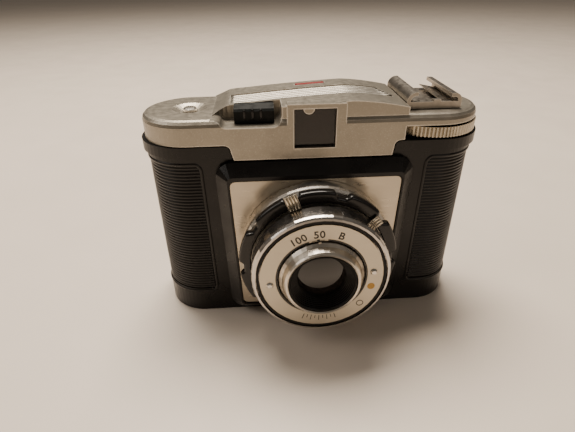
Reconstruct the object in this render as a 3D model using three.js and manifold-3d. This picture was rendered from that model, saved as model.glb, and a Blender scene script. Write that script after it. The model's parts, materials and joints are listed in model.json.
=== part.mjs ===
// A solid-body viewfinder camera for 6 x 6 cm exposures on 120 roll film.
// Millimetres, +Z up. The origin is on the underside, below the lens axis, at
// mid-depth of the body. The lens looks along -Y, and +X is on the right as
// seen from in front of the lens.
import * as THREE from 'three';
import { mergeVertices } from 'three/addons/utils/BufferGeometryUtils.js';
import Module from 'manifold-3d';

const wasm = await Module();
wasm.setup();

// ---- Driving sizes -------------------------------------------------------

// General clearances.
const GAP = 0.3;
const RUNNING_GAP = 0.35;

// Body in plan: two round ends joined by flat faces.
const END_CENTRE = 50.7;
const BODY_HALF_DEPTH = 18;
const WALL = 2.4;
const FLANGE_PROUD = 1.5;
const FLANGE_WIDTH = 2.7;
const COVER_PROUD = 1;
const COVER_END_SET_IN = 1;
const COVER_ROUND = 2.5;
const COVER_WALL = 1.5;
const PARTING_Y = 8;

// Heights. The film spool sets how high the body is.
const FLOOR_HIGH = 2.5;
const SPOOL_LOW = 7;
const SPOOL_LENGTH = 65.2;
const SPOOL_HEAD_ROOM = 6;
const FLANGE_THICK = 4.3;
const DECK_THICK = 1.6;
const COVER_RISE = 10;
const BROW_RISE = 5.4;
const APRON_DROP = 1.6;

// Grip panels.
const GRIP_LOW = 12.5;
const GRIP_BELOW_FLANGE = 4.2;
const GRIP_INNER_X = 45;
const GRIP_DEPTH = 0.9;

// Lens surround, a bevelled frame that narrows downwards, and the plate in it.
const FRAME_PROUD = 6.3;
const FRAME_BEVEL = 4.6;
const FRAME_BEVEL_DEPTH = 4.3;
const FRAME_HALF_TOP = 35.2;
const FRAME_HALF_BOTTOM = 33.3;
const FRAME_LOW = 7;
const FRAME_BELOW_APRON = 5.1;
const FRAME_CORNER = 2.5;
const PLATE_INSET = 1;
const PLATE_THICK = 0.8;
const PLATE_BELOW_LIP = 0.6;

// Lens unit, on an axis along Y. Its radii follow from the mount tube's.
const LENS_BELOW_SPOOL_MIDDLE = 1.8;
const MOUNT_TUBE_OUTER = 27.4;
const MOUNT_TUBE_WALL = 1.8;
const MOUNT_TUBE_REACH = 11.3;
const BASE_RING_WIDTH = 4;
const BASE_RING_HIGH = 7.2;
const LOBE_WIDTH = 5;
const LOBE_THICK = 3.7;
const LOBE_COUNT = 10;
const NOTCH_DEPTH = 1.8;
const NOTCH_HALF_ANGLE = 6;
const NOTCH_SLOPE_ANGLE = 3;
const FIRST_NOTCH_ANGLE = 38;
const SLEEVE_WALL = 2;
const SLEEVE_ENGAGEMENT = 10;
const LENS_TRAVEL = 5.5;
const LEVER_ROOM = 2.3;
const BARREL_LENGTH = 8;
const BEZEL_ROUND = 1.7;
const BEZEL_WIDTH = 1.6;
const BEZEL_LIP = 1.9;
const TRIM_WIDTH = 1.1;
const DIAL_WIDTH = 9.2;
const DIAL_SCREW_SET_IN = 2.95;
const DIAL_SCREW_ANGLES = { left: -173, right: 5 };
const RIM_WIDTH = 3.2;
const RIM_HIGH = 4.8;
const HOOD_WIDTH = 4.2;
const HOOD_DEPTH = 4.6;
const FRONT_GLASS_THICK = 3.5;
const REAR_GLASS_RADIUS = 9;
const REAR_LIP = 0.6;
const COCKING = { angle: 110, width: 4.9, reach: 6.6 };
const APERTURE = { angle: 41, width: 4, reach: 3.2 };
const LEVER_RING_THICK = 0.5;
const LEAF_PIVOT = 14;
const SHUTTER_OPENING = 6;
const LARGE_STOP = 5;
const SMALL_STOP = 2.8;
const STOP_SPACING = 32;

// Winding wheel, shaft, ratchet and spool.
const WHEEL_SET_IN = 1.2;
const WHEEL_RADIUS = 19.7;
const WHEEL_TEETH = 84;
const WHEEL_TOOTH = 0.6;
const WHEEL_CLEARANCE = 0.9;
const WHEEL_THICK = 4;
const SHELF_CLEARANCE = 0.8;
const SHELF_LENGTH = 15.7;
const SHAFT_RADIUS = 4;
const RATCHET_RADIUS = 9;
const RATCHET_TOOTH = 1.3;
const RATCHET_TEETH = 16;
const PAWL_PIVOT = { x: -13.5, y: -1, radius: 1 };
const SPOOL_FLANGE_RADIUS = 12.6;
const SPOOL_FLANGE_THICK = 1;
const SPOOL_CORE_RADIUS = 5.9;
const SPOOL_BORE_RADIUS = 2.8;

// Raised part of the top cover: its outline from in front as [x, height above the cover].
const CROWN = [
  [-40.5, -0.3], [-36.4, 1.4], [-33, 2.6], [-25.5, 3.2], [-16, 4], [-2.7, 4.9],
  [10.7, 5.6], [16, 5.7], [24.3, 4.9], [33, 3.4], [37, 2.5],
];
const RAISED_BEHIND_FRONT = 1.4;
const BROW = { left: -11, right: 11.6 };
const APRON = { left: -33.2, right: 31.4, flare: 2.6, thick: 1.8 };
const FLUTES = { front: -5, back: 8, left: -33, rightFront: 33, rightBack: 28.5, depth: 0.7 };
const BADGE = { left: -5.2, right: 7, front: 13.2, back: 15.8, thick: 0.6 };

// Screw at the left end of the cover, in a dish.
const COVER_SCREW = { shank: 1.5, head: 2.8, length: 7 };
const DISH = { radius: 7.2, floorRadius: 4, depth: 1.4 };

// Viewfinder. Heights are above the cover's top.
const WINDOW = { left: -8.4, right: 7.7, low: -11.8, high: 3.6 };
const EYE_WINDOW = { half: 4.2, low: -8.5, high: -1.3 };
const FINDER = { z: -4.8, halfX: 8.5, halfZ: 7.4 };
const GLASS_THICK = 0.8;
const FINDER_WALL = 0.8;

// Release key, in a recess in the front edge of the cover, and the lever below it.
const RECESS_DEPTH = 3;
const RECESS_LENGTH = 12;
const KEY = { left: -31.1, right: -15.7, behindFront: 4.8, thick: 6.2, high: 5.7 };
const KEY_TRAVEL = 1.6;
const TONGUE = { left: -25, right: -22, aboveDeck: 4.6 };
const LEVER = { x: -23.4, behindFront: 7.3, aboveDeck: 1.4, thick: 1.4, up: 5.4, down: 13.2, pin: 1 };

// Accessory shoe.
const SHOE = { setIn: 1.4, width: 21.8, front: -12, back: 17, high: 6.7 };
const SHOE_WALL = 1.4;
const SHOE_FLOOR = 0.8;
const SHOE_BEND_LEFT = 3.6;
const SHOE_BEND_RIGHT = 2.6;
const SHOE_LIP = 4.2;
const SHOE_APRON = { high: 2.9, thick: 1.2 };
const SHOE_STOP = { left: 46.9, right: 49.9, high: 0.8 };
const RIVET = { x: 7.5, front: -4, back: 9, shank: 1, head: 1.9 };

// Back door.
const HINGE = { outside: 1.1, behindParting: 1.6, radius: 2.2, pin: 1, head: 1.2 };
const HINGE_LOW = 8;
const HINGE_BELOW_FLANGE = 10.2;
const DOOR_KNUCKLE_LOW = 24;
const DOOR_KNUCKLE_HIGH = 52;
const RED_WINDOW_RADIUS = 4.2;
const WINDOW_RAIL = { left: -8, right: 20, half: 7.6, width: 1.2, proud: 1.2 };
const LATCH = { fromEnd: 6.7, width: 10, half: 8, slotHalf: 2.4 };

// Tripod bush, with its 1/4 inch thread as a plain bore.
const BUSH = { x: -28, radius: 6.5, bore: 3.2, height: 6, collar: 9, collarThick: 1.2 };

// Film path.
const GATE = 56;
const GATE_MARGIN = 5.5;
const GATE_PLATE_THICK = 1.5;
const GATE_CLEARANCE = 2.6;
const CHAMBER_WALL = 1.5;
const BRAKE = { clearance: 1.4, thick: 0.4, half: 9, spread: 30 };
const ROLLER_RADIUS = 2.2;
const ROLLER_PIN = 0.9;
const ROLLER_SET_OUT = 3.5;
const EAR_HIGH = 2.4;
const PRESSURE_PLATE = { half: 29.8, clearance: 0.4, thick: 0.6 };
const PRESSURE_SPRING = { x: 20, half: 20, arm: 14, width: 6, thick: 0.3 };

// ---- Sizes worked out from the driving sizes -----------------------------

const flangeLow = SPOOL_LOW + SPOOL_LENGTH + SPOOL_HEAD_ROOM;
const flangeHigh = flangeLow + FLANGE_THICK;
const deckHigh = flangeLow + DECK_THICK;
const apronLow = flangeLow - APRON_DROP;
const gripHigh = flangeLow - GRIP_BELOW_FLANGE;
const coverTop = flangeHigh + COVER_RISE;
const browTop = coverTop + BROW_RISE;
const coverLow = flangeHigh + GAP;
const coverUnderside = coverTop - COVER_WALL;
const bossHigh = coverUnderside - 1.2;
const bodyInside = BODY_HALF_DEPTH - WALL;
const flangeHalfDepth = BODY_HALF_DEPTH + FLANGE_PROUD;
const coverHalfDepth = BODY_HALF_DEPTH + COVER_PROUD;
const coverEndCentre = END_CENTRE - COVER_END_SET_IN;
const coverInside = coverHalfDepth - COVER_WALL;
const raisedFrontY = -coverHalfDepth + RAISED_BEHIND_FRONT;
const apronInnerY = -coverHalfDepth + APRON.thick;
const apronRoomY = apronInnerY + 1;

const lensZ = SPOOL_LOW + SPOOL_LENGTH / 2 - LENS_BELOW_SPOOL_MIDDLE;
const frameHigh = apronLow - FRAME_BELOW_APRON;
const frameFrontY = -BODY_HALF_DEPTH - FRAME_PROUD;
const plateFrontY = frameFrontY + PLATE_BELOW_LIP;
const plateBackY = plateFrontY + PLATE_THICK;
const mountFrontY = frameFrontY - MOUNT_TUBE_REACH;
const mountBore = MOUNT_TUBE_OUTER + RUNNING_GAP;
const mountInner = MOUNT_TUBE_OUTER - MOUNT_TUBE_WALL;
const baseRingOuter = MOUNT_TUBE_OUTER + BASE_RING_WIDTH;
const lobeOuter = MOUNT_TUBE_OUTER + LOBE_WIDTH;
const lobeFrontY = mountFrontY - 0.4;
const lobeRearY = lobeFrontY + LOBE_THICK;
const sleeveOuter = mountInner - RUNNING_GAP;
const sleeveInner = sleeveOuter - SLEEVE_WALL;
const sleeveRearY = mountFrontY + LENS_TRAVEL + SLEEVE_ENGAGEMENT;
const innerDisc = sleeveInner - GAP;
const barrelOuter = MOUNT_TUBE_OUTER;
const barrelRearY = mountFrontY - LEVER_ROOM;
const barrelFrontY = barrelRearY - BARREL_LENGTH;
const shoulderY = barrelFrontY + BEZEL_LIP;
const bezelInner = barrelOuter - BEZEL_WIDTH;
const dialFaceY = barrelFrontY + 0.2;
const dialBackY = shoulderY - GAP;
const dialOuter = bezelInner - GAP - TRIM_WIDTH - GAP;
const rimBase = bezelInner - DIAL_WIDTH;
const dialInner = rimBase + 0.7;
const dialScrewRadius = sleeveInner - DIAL_SCREW_SET_IN;
const screwShank = 0.8;
const coverPlateBackY = shoulderY + 1.2;
const rimOpening = rimBase - RIM_WIDTH;
const rimFrontY = dialFaceY - RIM_HIGH;
const cellOuter = rimOpening - RUNNING_GAP;
const glassRadius = rimOpening - HOOD_WIDTH;
const glassSeat = glassRadius + GAP;
const glassFrontY = rimFrontY + HOOD_DEPTH;
const glassBackY = glassFrontY + FRONT_GLASS_THICK;
const leverFrontY = barrelRearY + GAP;
const leafThick = 0.5;
const shutterPlateY = { front: mountFrontY + 2.1, back: mountFrontY + 3.1 };
const rearCellY = { front: mountFrontY + 5.2, step: mountFrontY + 6.2, back: mountFrontY + 9.6 };

const wheelX = END_CENTRE - WHEEL_SET_IN;
const supplyX = -wheelX;
const wheelLow = flangeHigh + WHEEL_CLEARANCE;
const wheelHigh = wheelLow + WHEEL_THICK;
const shelfLow = wheelHigh + SHELF_CLEARANCE;
const shelfX = END_CENTRE - SHELF_LENGTH;
const raisedRight = shelfX + 1;
const spoolHigh = SPOOL_LOW + SPOOL_LENGTH;
const keyLow = spoolHigh - 2.4;
const shaftLow = spoolHigh + 0.6;
const ratchetLow = deckHigh + 0.4;
const ratchetHigh = flangeHigh - 0.1;
const pawlHigh = ratchetHigh - 0.4;

const recessFloor = coverTop - RECESS_DEPTH;
const recessBackY = -coverHalfDepth + RECESS_LENGTH;
const keyFrontY = -coverHalfDepth + KEY.behindFront;
const keyBackY = keyFrontY + KEY.thick;
const keyHigh = recessFloor + KEY.high;
const leverY = -coverHalfDepth + LEVER.behindFront;
const leverZ = deckHigh + LEVER.aboveDeck;
const leverBackY = leverY + LEVER.thick / 2;

const shoeLeft = shelfX + SHOE.setIn;
const shoeRight = shoeLeft + SHOE.width;
const shoeTop = coverTop + SHOE.high;
const shoeLow = coverTop + GAP;
const shoeFloorTop = shoeLow + SHOE_FLOOR;
const rivetPlaces = [[shelfX + RIVET.x, RIVET.front], [shelfX + RIVET.x, RIVET.back]];

const gateLow = FLOOR_HIGH + 0.7;
const gateHigh = flangeLow - 4;
const gateBackY = bodyInside - GATE_CLEARANCE;
const gateFrontY = gateBackY - GATE_PLATE_THICK;
const chamberFrontY = -gateBackY;
const gatePlateHalf = GATE / 2 + GATE_MARGIN;
const rollerX = gatePlateHalf + ROLLER_SET_OUT;
const rollerY = gateBackY - ROLLER_RADIUS;

const hingeX = -(END_CENTRE + BODY_HALF_DEPTH - HINGE.outside);
const hingeY = PARTING_Y + HINGE.behindParting;
const hingeHigh = flangeLow - HINGE_BELOW_FLANGE;
const doorHigh = flangeLow - GAP;
const doorLowY = PARTING_Y + GAP;
const doorFace = BODY_HALF_DEPTH + GAP;
const latchLeft = END_CENTRE - LATCH.fromEnd;
const latchRight = latchLeft + LATCH.width;
const pressureFrontY = gateBackY + PRESSURE_PLATE.clearance;
const pressureBackY = pressureFrontY + PRESSURE_PLATE.thick;

// ---- Shapes and solids ---------------------------------------------------

const RIGHT_ANGLE = Math.PI / 2;
const FINE = 48;
const MEDIUM = 24;
const SMALL = 12;
const END_SEGMENTS = 14;
const FAR = 300;

function radians(degrees) {
  return degrees * Math.PI / 180;
}

// A closed geometry as a solid, with its faces turned outwards.
function solid(geometry) {
  const bare = geometry.clone();
  bare.deleteAttribute('normal');
  bare.deleteAttribute('uv');
  const merged = mergeVertices(bare, 1e-4);
  const index = merged.index.array;
  const faces = [];
  for (let i = 0; i < index.length; i += 3) {
    const [a, b, c] = [index[i], index[i + 1], index[i + 2]];
    if (a !== b && b !== c && c !== a) faces.push(a, b, c);
  }
  const points = merged.attributes.position.array;
  if (volumeOf(points, faces) < 0) faces.reverse();
  const mesh = new wasm.Mesh({
    numProp: 3,
    vertProperties: new Float32Array(points),
    triVerts: new Uint32Array(faces),
  });
  return new wasm.Manifold(mesh);
}

function volumeOf(points, faces) {
  let total = 0;
  const corner = [new THREE.Vector3(), new THREE.Vector3(), new THREE.Vector3()];
  for (let i = 0; i < faces.length; i += 3) {
    corner.forEach((vector, k) => vector.fromArray(points, 3 * faces[i + k]));
    total += corner[0].dot(corner[1].clone().cross(corner[2]));
  }
  return total;
}

function outline(points) {
  return new THREE.Shape(points.map(([a, b]) => new THREE.Vector2(a, b)));
}

function extruded(shape, depth, curveSegments = 6) {
  return new THREE.ExtrudeGeometry(shape, { depth, curveSegments, bevelEnabled: false });
}

// Turn a geometry's own axes to the given directions.
function reoriented(geometry, xAxis, yAxis, zAxis) {
  const basis = new THREE.Matrix4().makeBasis(
    new THREE.Vector3(...xAxis), new THREE.Vector3(...yAxis), new THREE.Vector3(...zAxis),
  );
  return geometry.applyMatrix4(basis);
}

// A prism along Z of a shape drawn in X and Y.
function prismZ(shape, low, high, segments) {
  return solid(extruded(shape, high - low, segments).translate(0, 0, low));
}

// A prism along Y of a shape drawn in X and Z.
function prismY(shape, low, high, segments) {
  const geometry = extruded(shape, high - low, segments);
  return solid(reoriented(geometry, [1, 0, 0], [0, 0, 1], [0, -1, 0]).translate(0, high, 0));
}

// A prism along X of a shape drawn in Y and Z.
function prismX(shape, low, high, segments) {
  const geometry = extruded(shape, high - low, segments);
  return solid(reoriented(geometry, [0, 1, 0], [0, 0, 1], [1, 0, 0]).translate(low, 0, 0));
}

function box(left, right, front, back, low, high) {
  const geometry = new THREE.BoxGeometry(right - left, back - front, high - low);
  return solid(geometry.translate((left + right) / 2, (front + back) / 2, (low + high) / 2));
}

// A solid of revolution about the Y axis, from [radius, y] points.
function turnedY(profile, segments = FINE) {
  return solid(new THREE.LatheGeometry(profile.map(([r, y]) => new THREE.Vector2(r, y)), segments));
}

// A solid of revolution about the Z axis, from [radius, z] points.
function turnedZ(profile, segments = FINE) {
  const points = profile.map(([r, z]) => new THREE.Vector2(r, z));
  return solid(new THREE.LatheGeometry(points, segments).rotateX(RIGHT_ANGLE));
}

function rodY(radius, low, high, segments = MEDIUM) {
  return turnedY([[0, low], [radius, low], [radius, high], [0, high]], segments);
}

function rodZ(radius, low, high, segments = MEDIUM) {
  return turnedZ([[0, low], [radius, low], [radius, high], [0, high]], segments);
}

function ringY(inner, outer, low, high, segments = FINE) {
  return turnedY([[inner, low], [outer, low], [outer, high], [inner, high], [inner, low]], segments);
}

function ringZ(inner, outer, low, high, segments = FINE) {
  return turnedZ([[inner, low], [outer, low], [outer, high], [inner, high], [inner, low]], segments);
}

// A plan with a flat front and back, and round ends.
function plan(halfDepth, endCentre = END_CENTRE) {
  const shape = new THREE.Shape();
  shape.moveTo(-endCentre, -halfDepth);
  shape.lineTo(endCentre, -halfDepth);
  shape.absarc(endCentre, 0, halfDepth, -RIGHT_ANGLE, RIGHT_ANGLE, false);
  shape.lineTo(-endCentre, halfDepth);
  shape.absarc(-endCentre, 0, halfDepth, RIGHT_ANGLE, 3 * RIGHT_ANGLE, false);
  return shape;
}

function planSolid(halfDepth, low, high) {
  return prismZ(plan(halfDepth), low, high, END_SEGMENTS);
}

// The cover's plan as a solid, with its top edge rounded.
function roundedPlanSolid(halfDepth, low, high, round) {
  const geometry = new THREE.ExtrudeGeometry(plan(halfDepth - round, coverEndCentre), {
    depth: high - low,
    curveSegments: END_SEGMENTS,
    bevelEnabled: true,
    bevelSegments: 3,
    bevelThickness: round,
    bevelSize: round,
  });
  return solid(geometry.translate(0, 0, low - round)).intersect(box(-FAR, FAR, -FAR, FAR, low, FAR));
}

function roundedRectangle(left, right, low, high, radius) {
  const shape = new THREE.Shape();
  shape.moveTo(left + radius, low);
  shape.lineTo(right - radius, low);
  shape.absarc(right - radius, low + radius, radius, -RIGHT_ANGLE, 0, false);
  shape.lineTo(right, high - radius);
  shape.absarc(right - radius, high - radius, radius, 0, RIGHT_ANGLE, false);
  shape.lineTo(left + radius, high);
  shape.absarc(left + radius, high - radius, radius, RIGHT_ANGLE, 2 * RIGHT_ANGLE, false);
  shape.lineTo(left, low + radius);
  shape.absarc(left + radius, low + radius, radius, 2 * RIGHT_ANGLE, 3 * RIGHT_ANGLE, false);
  return shape;
}

// A symmetrical outline, wider at the top, with rounded corners.
function taperedOutline(halfTop, halfBottom, low, high, radius) {
  const lean = (halfTop - halfBottom) / (high - low) * radius;
  const shape = new THREE.Shape();
  shape.moveTo(-halfBottom + radius, low);
  shape.lineTo(halfBottom - radius, low);
  shape.quadraticCurveTo(halfBottom, low, halfBottom + lean, low + radius);
  shape.lineTo(halfTop - lean, high - radius);
  shape.quadraticCurveTo(halfTop, high, halfTop - radius, high);
  shape.lineTo(-halfTop + radius, high);
  shape.quadraticCurveTo(-halfTop, high, -halfTop + lean, high - radius);
  shape.lineTo(-halfBottom - lean, low + radius);
  shape.quadraticCurveTo(-halfBottom, low, -halfBottom + radius, low);
  return shape;
}

// A four-sided tube end: a frustum along Y with a half-width and half-height at each end.
function frustumY(frontHalf, backHalf, front, back) {
  const length = back - front;
  const geometry = new THREE.CylinderGeometry(Math.SQRT2, Math.SQRT2, length, 4, 1);
  geometry.rotateY(RIGHT_ANGLE / 2);
  const position = geometry.attributes.position;
  for (let i = 0; i < position.count; i += 1) {
    const half = position.getY(i) > 0 ? backHalf : frontHalf;
    position.setX(i, position.getX(i) * half[0]);
    position.setZ(i, position.getZ(i) * half[1]);
  }
  return solid(geometry.translate(0, (front + back) / 2, 0));
}

// ---- Materials and placing -----------------------------------------------

function finish(color, roughness, metalness) {
  return () => new THREE.MeshStandardMaterial({ color, roughness, metalness, flatShading: true });
}

const blackPlastic = finish(0x141416, 0.3, 0);
const mattBlack = finish(0x0b0b0c, 0.8, 0);
const silverPaint = finish(0xb8ac98, 0.4, 0.4);
const satinPlate = finish(0xb9ad97, 0.35, 0.8);
const chrome = finish(0xc9c6c0, 0.15, 1);
const nickel = finish(0xb49a68, 0.3, 1);
const steel = finish(0x8d8a85, 0.35, 1);
const brass = finish(0xa8873f, 0.35, 1);
const glass = finish(0x2a2c30, 0.05, 0);
const redPlastic = finish(0x9c1f18, 0.35, 0);

const camera = new THREE.Group();
const lensGroup = new THREE.Group();
lensGroup.position.set(0, 0, lensZ);
const windingGroup = new THREE.Group();
windingGroup.position.set(wheelX, 0, 0);
const hingeGroup = new THREE.Group();
hingeGroup.position.set(hingeX, hingeY, 0);
camera.add(lensGroup, windingGroup, hingeGroup);

function place(name, shape, material, group = camera) {
  const { vertProperties, triVerts } = shape.getMesh();
  const geometry = new THREE.BufferGeometry();
  geometry.setAttribute('position', new THREE.BufferAttribute(new Float32Array(vertProperties), 3));
  geometry.setIndex(new THREE.BufferAttribute(new Uint32Array(triVerts), 1));
  geometry.computeVertexNormals();
  const mesh = new THREE.Mesh(geometry, material());
  mesh.name = name;
  group.add(mesh);
}

// ---- Front body ----------------------------------------------------------

// The middle of the front, where the cover's apron hangs down between the flange ends.
function apronOutline(clearance) {
  const left = APRON.left + clearance;
  const right = APRON.right - clearance;
  const { flare } = APRON;
  const low = apronLow - GAP + clearance;
  const high = flangeHigh + 1;
  const shape = new THREE.Shape();
  shape.moveTo(left + 1, low);
  shape.lineTo(right - 0.5, low);
  shape.lineTo(right, flangeHigh - flare);
  shape.quadraticCurveTo(right, flangeHigh, right + flare, flangeHigh + clearance);
  shape.lineTo(right + flare, high);
  shape.lineTo(left - flare, high);
  shape.lineTo(left - flare, flangeHigh + clearance);
  shape.quadraticCurveTo(left, flangeHigh, left, flangeHigh - flare);
  return shape;
}

function lensFrame() {
  const shape = taperedOutline(
    FRAME_HALF_TOP, FRAME_HALF_BOTTOM, FRAME_LOW, frameHigh, FRAME_CORNER,
  );
  const bevelFoot = frameFrontY + FRAME_BEVEL_DEPTH;
  const backY = -BODY_HALF_DEPTH + 1;
  const geometry = new THREE.ExtrudeGeometry(shape, {
    depth: backY - bevelFoot,
    curveSegments: 4,
    bevelEnabled: true,
    bevelSegments: 1,
    bevelThickness: FRAME_BEVEL_DEPTH,
    bevelSize: FRAME_BEVEL,
  });
  reoriented(geometry, [1, 0, 0], [0, 0, 1], [0, -1, 0]);
  return solid(geometry.translate(0, backY, 0));
}

function plateOutline(clearance) {
  return taperedOutline(
    FRAME_HALF_TOP - PLATE_INSET + clearance, FRAME_HALF_BOTTOM - PLATE_INSET + clearance,
    FRAME_LOW + PLATE_INSET - clearance, frameHigh - 2 * PLATE_INSET + clearance, FRAME_CORNER,
  );
}

// The shallow panel round one end that holds the grip ribs.
function gripRecess(side) {
  const ring = planSolid(BODY_HALF_DEPTH + 1, GRIP_LOW, gripHigh)
    .subtract(planSolid(BODY_HALF_DEPTH - GRIP_DEPTH, GRIP_LOW - 1, gripHigh + 1));
  const left = side > 0 ? GRIP_INNER_X : -FAR;
  const right = side > 0 ? FAR : -GRIP_INNER_X;
  return ring.intersect(box(left, right, -FAR, PARTING_Y - 2, 0, FAR));
}

function knuckle(low, high) {
  return ringZ(HINGE.pin + RUNNING_GAP, HINGE.radius, low, high, SMALL)
    .translate([hingeX, hingeY, 0]);
}

function bodyKnuckle(low, high) {
  const armBack = hingeY - HINGE.pin - RUNNING_GAP;
  return knuckle(low, high).add(box(hingeX - 0.2, hingeX + 3, PARTING_Y - 2.5, armBack, low, high));
}

function knuckleRoom(low, high) {
  return rodZ(HINGE.radius + RUNNING_GAP, low - GAP, high + GAP, SMALL)
    .translate([hingeX, hingeY, 0]);
}

function bodyShell() {
  const shell = planSolid(BODY_HALF_DEPTH, 0, flangeLow + 0.5)
    .intersect(box(-FAR, FAR, -FAR, PARTING_Y, -1, FAR))
    .add(lensFrame())
    .subtract(planSolid(bodyInside, FLOOR_HIGH, flangeLow + 1));
  const deck = planSolid(flangeHalfDepth, flangeLow, flangeHigh)
    .subtract(planSolid(flangeHalfDepth - FLANGE_WIDTH, deckHigh, flangeHigh + 1));
  const lightTrap = planSolid(bodyInside - GAP, flangeLow - 2, flangeLow + 0.5)
    .subtract(planSolid(bodyInside - GAP - COVER_WALL, flangeLow - 3, flangeLow))
    .intersect(box(-FAR, FAR, PARTING_Y - 1, FAR, 0, FAR));
  return shell.add(deck).add(lightTrap);
}

// What the release lever needs in the deck: a slot, and a bracket with its screw's hole.
function leverSeat(deck) {
  const half = 2.6;
  const left = LEVER.x - half;
  const right = LEVER.x + half;
  const slot = box(left, right + 1, leverY - 1.4, leverY + 4.4, flangeLow - 1, deckHigh + 1);
  const bracket = box(left, right, leverY - 4.8, leverY - 1.5, deckHigh - 0.5, leverZ + 2);
  const hole = rodY(LEVER.pin + GAP, leverY - 4, leverY, SMALL).translate([LEVER.x, 0, leverZ]);
  return deck.subtract(slot).add(bracket).subtract(hole);
}

function frontBody() {
  const screwBoss = rodZ(4, deckHigh - 0.5, bossHigh, SMALL);
  const screwHole = rodZ(COVER_SCREW.shank + GAP, deckHigh + 1, FAR, SMALL);
  const shaftHole = rodZ(SHAFT_RADIUS + RUNNING_GAP, flangeLow - 1, flangeHigh);
  const bushHole = rodZ(BUSH.radius + GAP, -1, FLOOR_HIGH + 1);
  const mountHole = rodY(mountBore, frameFrontY - 1, -bodyInside + 1, FINE);
  const ringSeat = rodY(baseRingOuter + GAP, frameFrontY - 1, plateFrontY, FINE);
  const body = bodyShell()
    .subtract(prismY(plateOutline(GAP), frameFrontY - 1, plateBackY + GAP, 4))
    .subtract(prismY(apronOutline(0), -FAR, apronRoomY))
    .subtract(gripRecess(1))
    .subtract(gripRecess(-1))
    .subtract(mountHole.translate([0, 0, lensZ]))
    .subtract(ringSeat.translate([0, 0, lensZ]))
    .add(screwBoss.translate([supplyX, 0, 0]))
    .subtract(screwHole.translate([supplyX, 0, 0]))
    .subtract(shaftHole.translate([wheelX, 0, 0]))
    .subtract(bushHole.translate([BUSH.x, 0, 0]));
  return leverSeat(body)
    .subtract(knuckleRoom(HINGE_LOW, hingeHigh + HINGE.head))
    .add(bodyKnuckle(HINGE_LOW, DOOR_KNUCKLE_LOW - GAP))
    .add(bodyKnuckle(DOOR_KNUCKLE_HIGH + GAP, hingeHigh));
}

function facePlate() {
  const opening = rodY(mountBore + GAP, frameFrontY - 1, 0, FINE).translate([0, 0, lensZ]);
  return prismY(plateOutline(0), plateFrontY, plateBackY, 4).subtract(opening);
}

// The bush's bore is blind: it opens downwards.
function tripodBush() {
  const collarLow = FLOOR_HIGH + GAP;
  return ringZ(BUSH.bore, BUSH.radius, 0, BUSH.height, MEDIUM)
    .add(rodZ(BUSH.radius, BUSH.height - 0.5, BUSH.height + 1))
    .add(ringZ(BUSH.radius - 1, BUSH.collar, collarLow, collarLow + BUSH.collarThick, MEDIUM))
    .translate([BUSH.x, 0, 0]);
}

place('front_body', frontBody(), blackPlastic);
place('face_plate', facePlate(), satinPlate);
place('tripod_bush', tripodBush(), brass);

// ---- Film path -----------------------------------------------------------

// The light baffle, with the film gate and rails at its back and ears for the rollers.
function gateFrame() {
  const half = GATE / 2;
  const frontHalf = half - 2;
  const frontInner = frontHalf - CHAMBER_WALL;
  const backHalf = half + CHAMBER_WALL + 1;
  const baffle = frustumY([frontHalf, frontHalf], [backHalf, backHalf], chamberFrontY, gateFrontY + 0.5);
  const light = frustumY([frontInner, frontInner], [half, half], chamberFrontY - 0.01, gateBackY + 1);
  let frame = box(-gatePlateHalf, gatePlateHalf, gateFrontY, gateBackY, gateLow, gateHigh)
    .add(baffle.translate([0, 0, lensZ]))
    .subtract(light.translate([0, 0, lensZ]));
  for (const side of [-1, 1]) {
    for (const low of [gateLow, gateHigh - EAR_HIGH]) {
      const ends = [side * (gatePlateHalf - 1), side * (rollerX + ROLLER_RADIUS)];
      const [left, right] = [Math.min(...ends), Math.max(...ends)];
      frame = frame.add(box(left, right, rollerY - 2, gateBackY, low, low + EAR_HIGH));
    }
    const bore = rodZ(ROLLER_PIN + RUNNING_GAP, gateLow + 0.8, gateHigh - 0.8, SMALL);
    frame = frame.subtract(bore.translate([side * rollerX, rollerY, 0]));
  }
  return frame;
}

function roller() {
  const low = gateLow + EAR_HIGH + RUNNING_GAP;
  const high = gateHigh - EAR_HIGH - RUNNING_GAP;
  const pinLow = gateLow + 0.8 + RUNNING_GAP;
  const pinHigh = gateHigh - 0.8 - RUNNING_GAP;
  return turnedZ([
    [0, pinLow], [ROLLER_PIN, pinLow], [ROLLER_PIN, low], [ROLLER_RADIUS, low],
    [ROLLER_RADIUS, high], [ROLLER_PIN, high], [ROLLER_PIN, pinHigh], [0, pinHigh],
  ], SMALL);
}

// A pivot for one end of a spool: a flange and a pin, upright or hanging.
function spoolPivot(fromZ, toward) {
  const at = (distance) => fromZ + toward * distance;
  const flange = { radius: 5, thick: 1.1 };
  const pin = { radius: SPOOL_BORE_RADIUS - 0.4, straight: 7, length: 8.2, tip: SPOOL_BORE_RADIUS - 1.2 };
  return turnedZ([
    [0, at(GAP)], [flange.radius, at(GAP)], [flange.radius, at(flange.thick)], [pin.radius, at(flange.thick)],
    [pin.radius, at(pin.straight)], [pin.tip, at(pin.length)], [0, at(pin.length)],
  ], SMALL);
}

// A bowed leaf that presses on the film roll.
function filmBrake() {
  const inner = bodyInside - BRAKE.clearance;
  const [start, end] = [radians(180 - BRAKE.spread), radians(180 + BRAKE.spread)];
  const shape = new THREE.Shape();
  shape.absarc(0, 0, inner + BRAKE.thick, start, end, false);
  shape.absarc(0, 0, inner, end, start, true);
  return prismZ(shape, lensZ - BRAKE.half, lensZ + BRAKE.half, 6).translate([-END_CENTRE, 0, 0]);
}

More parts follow.
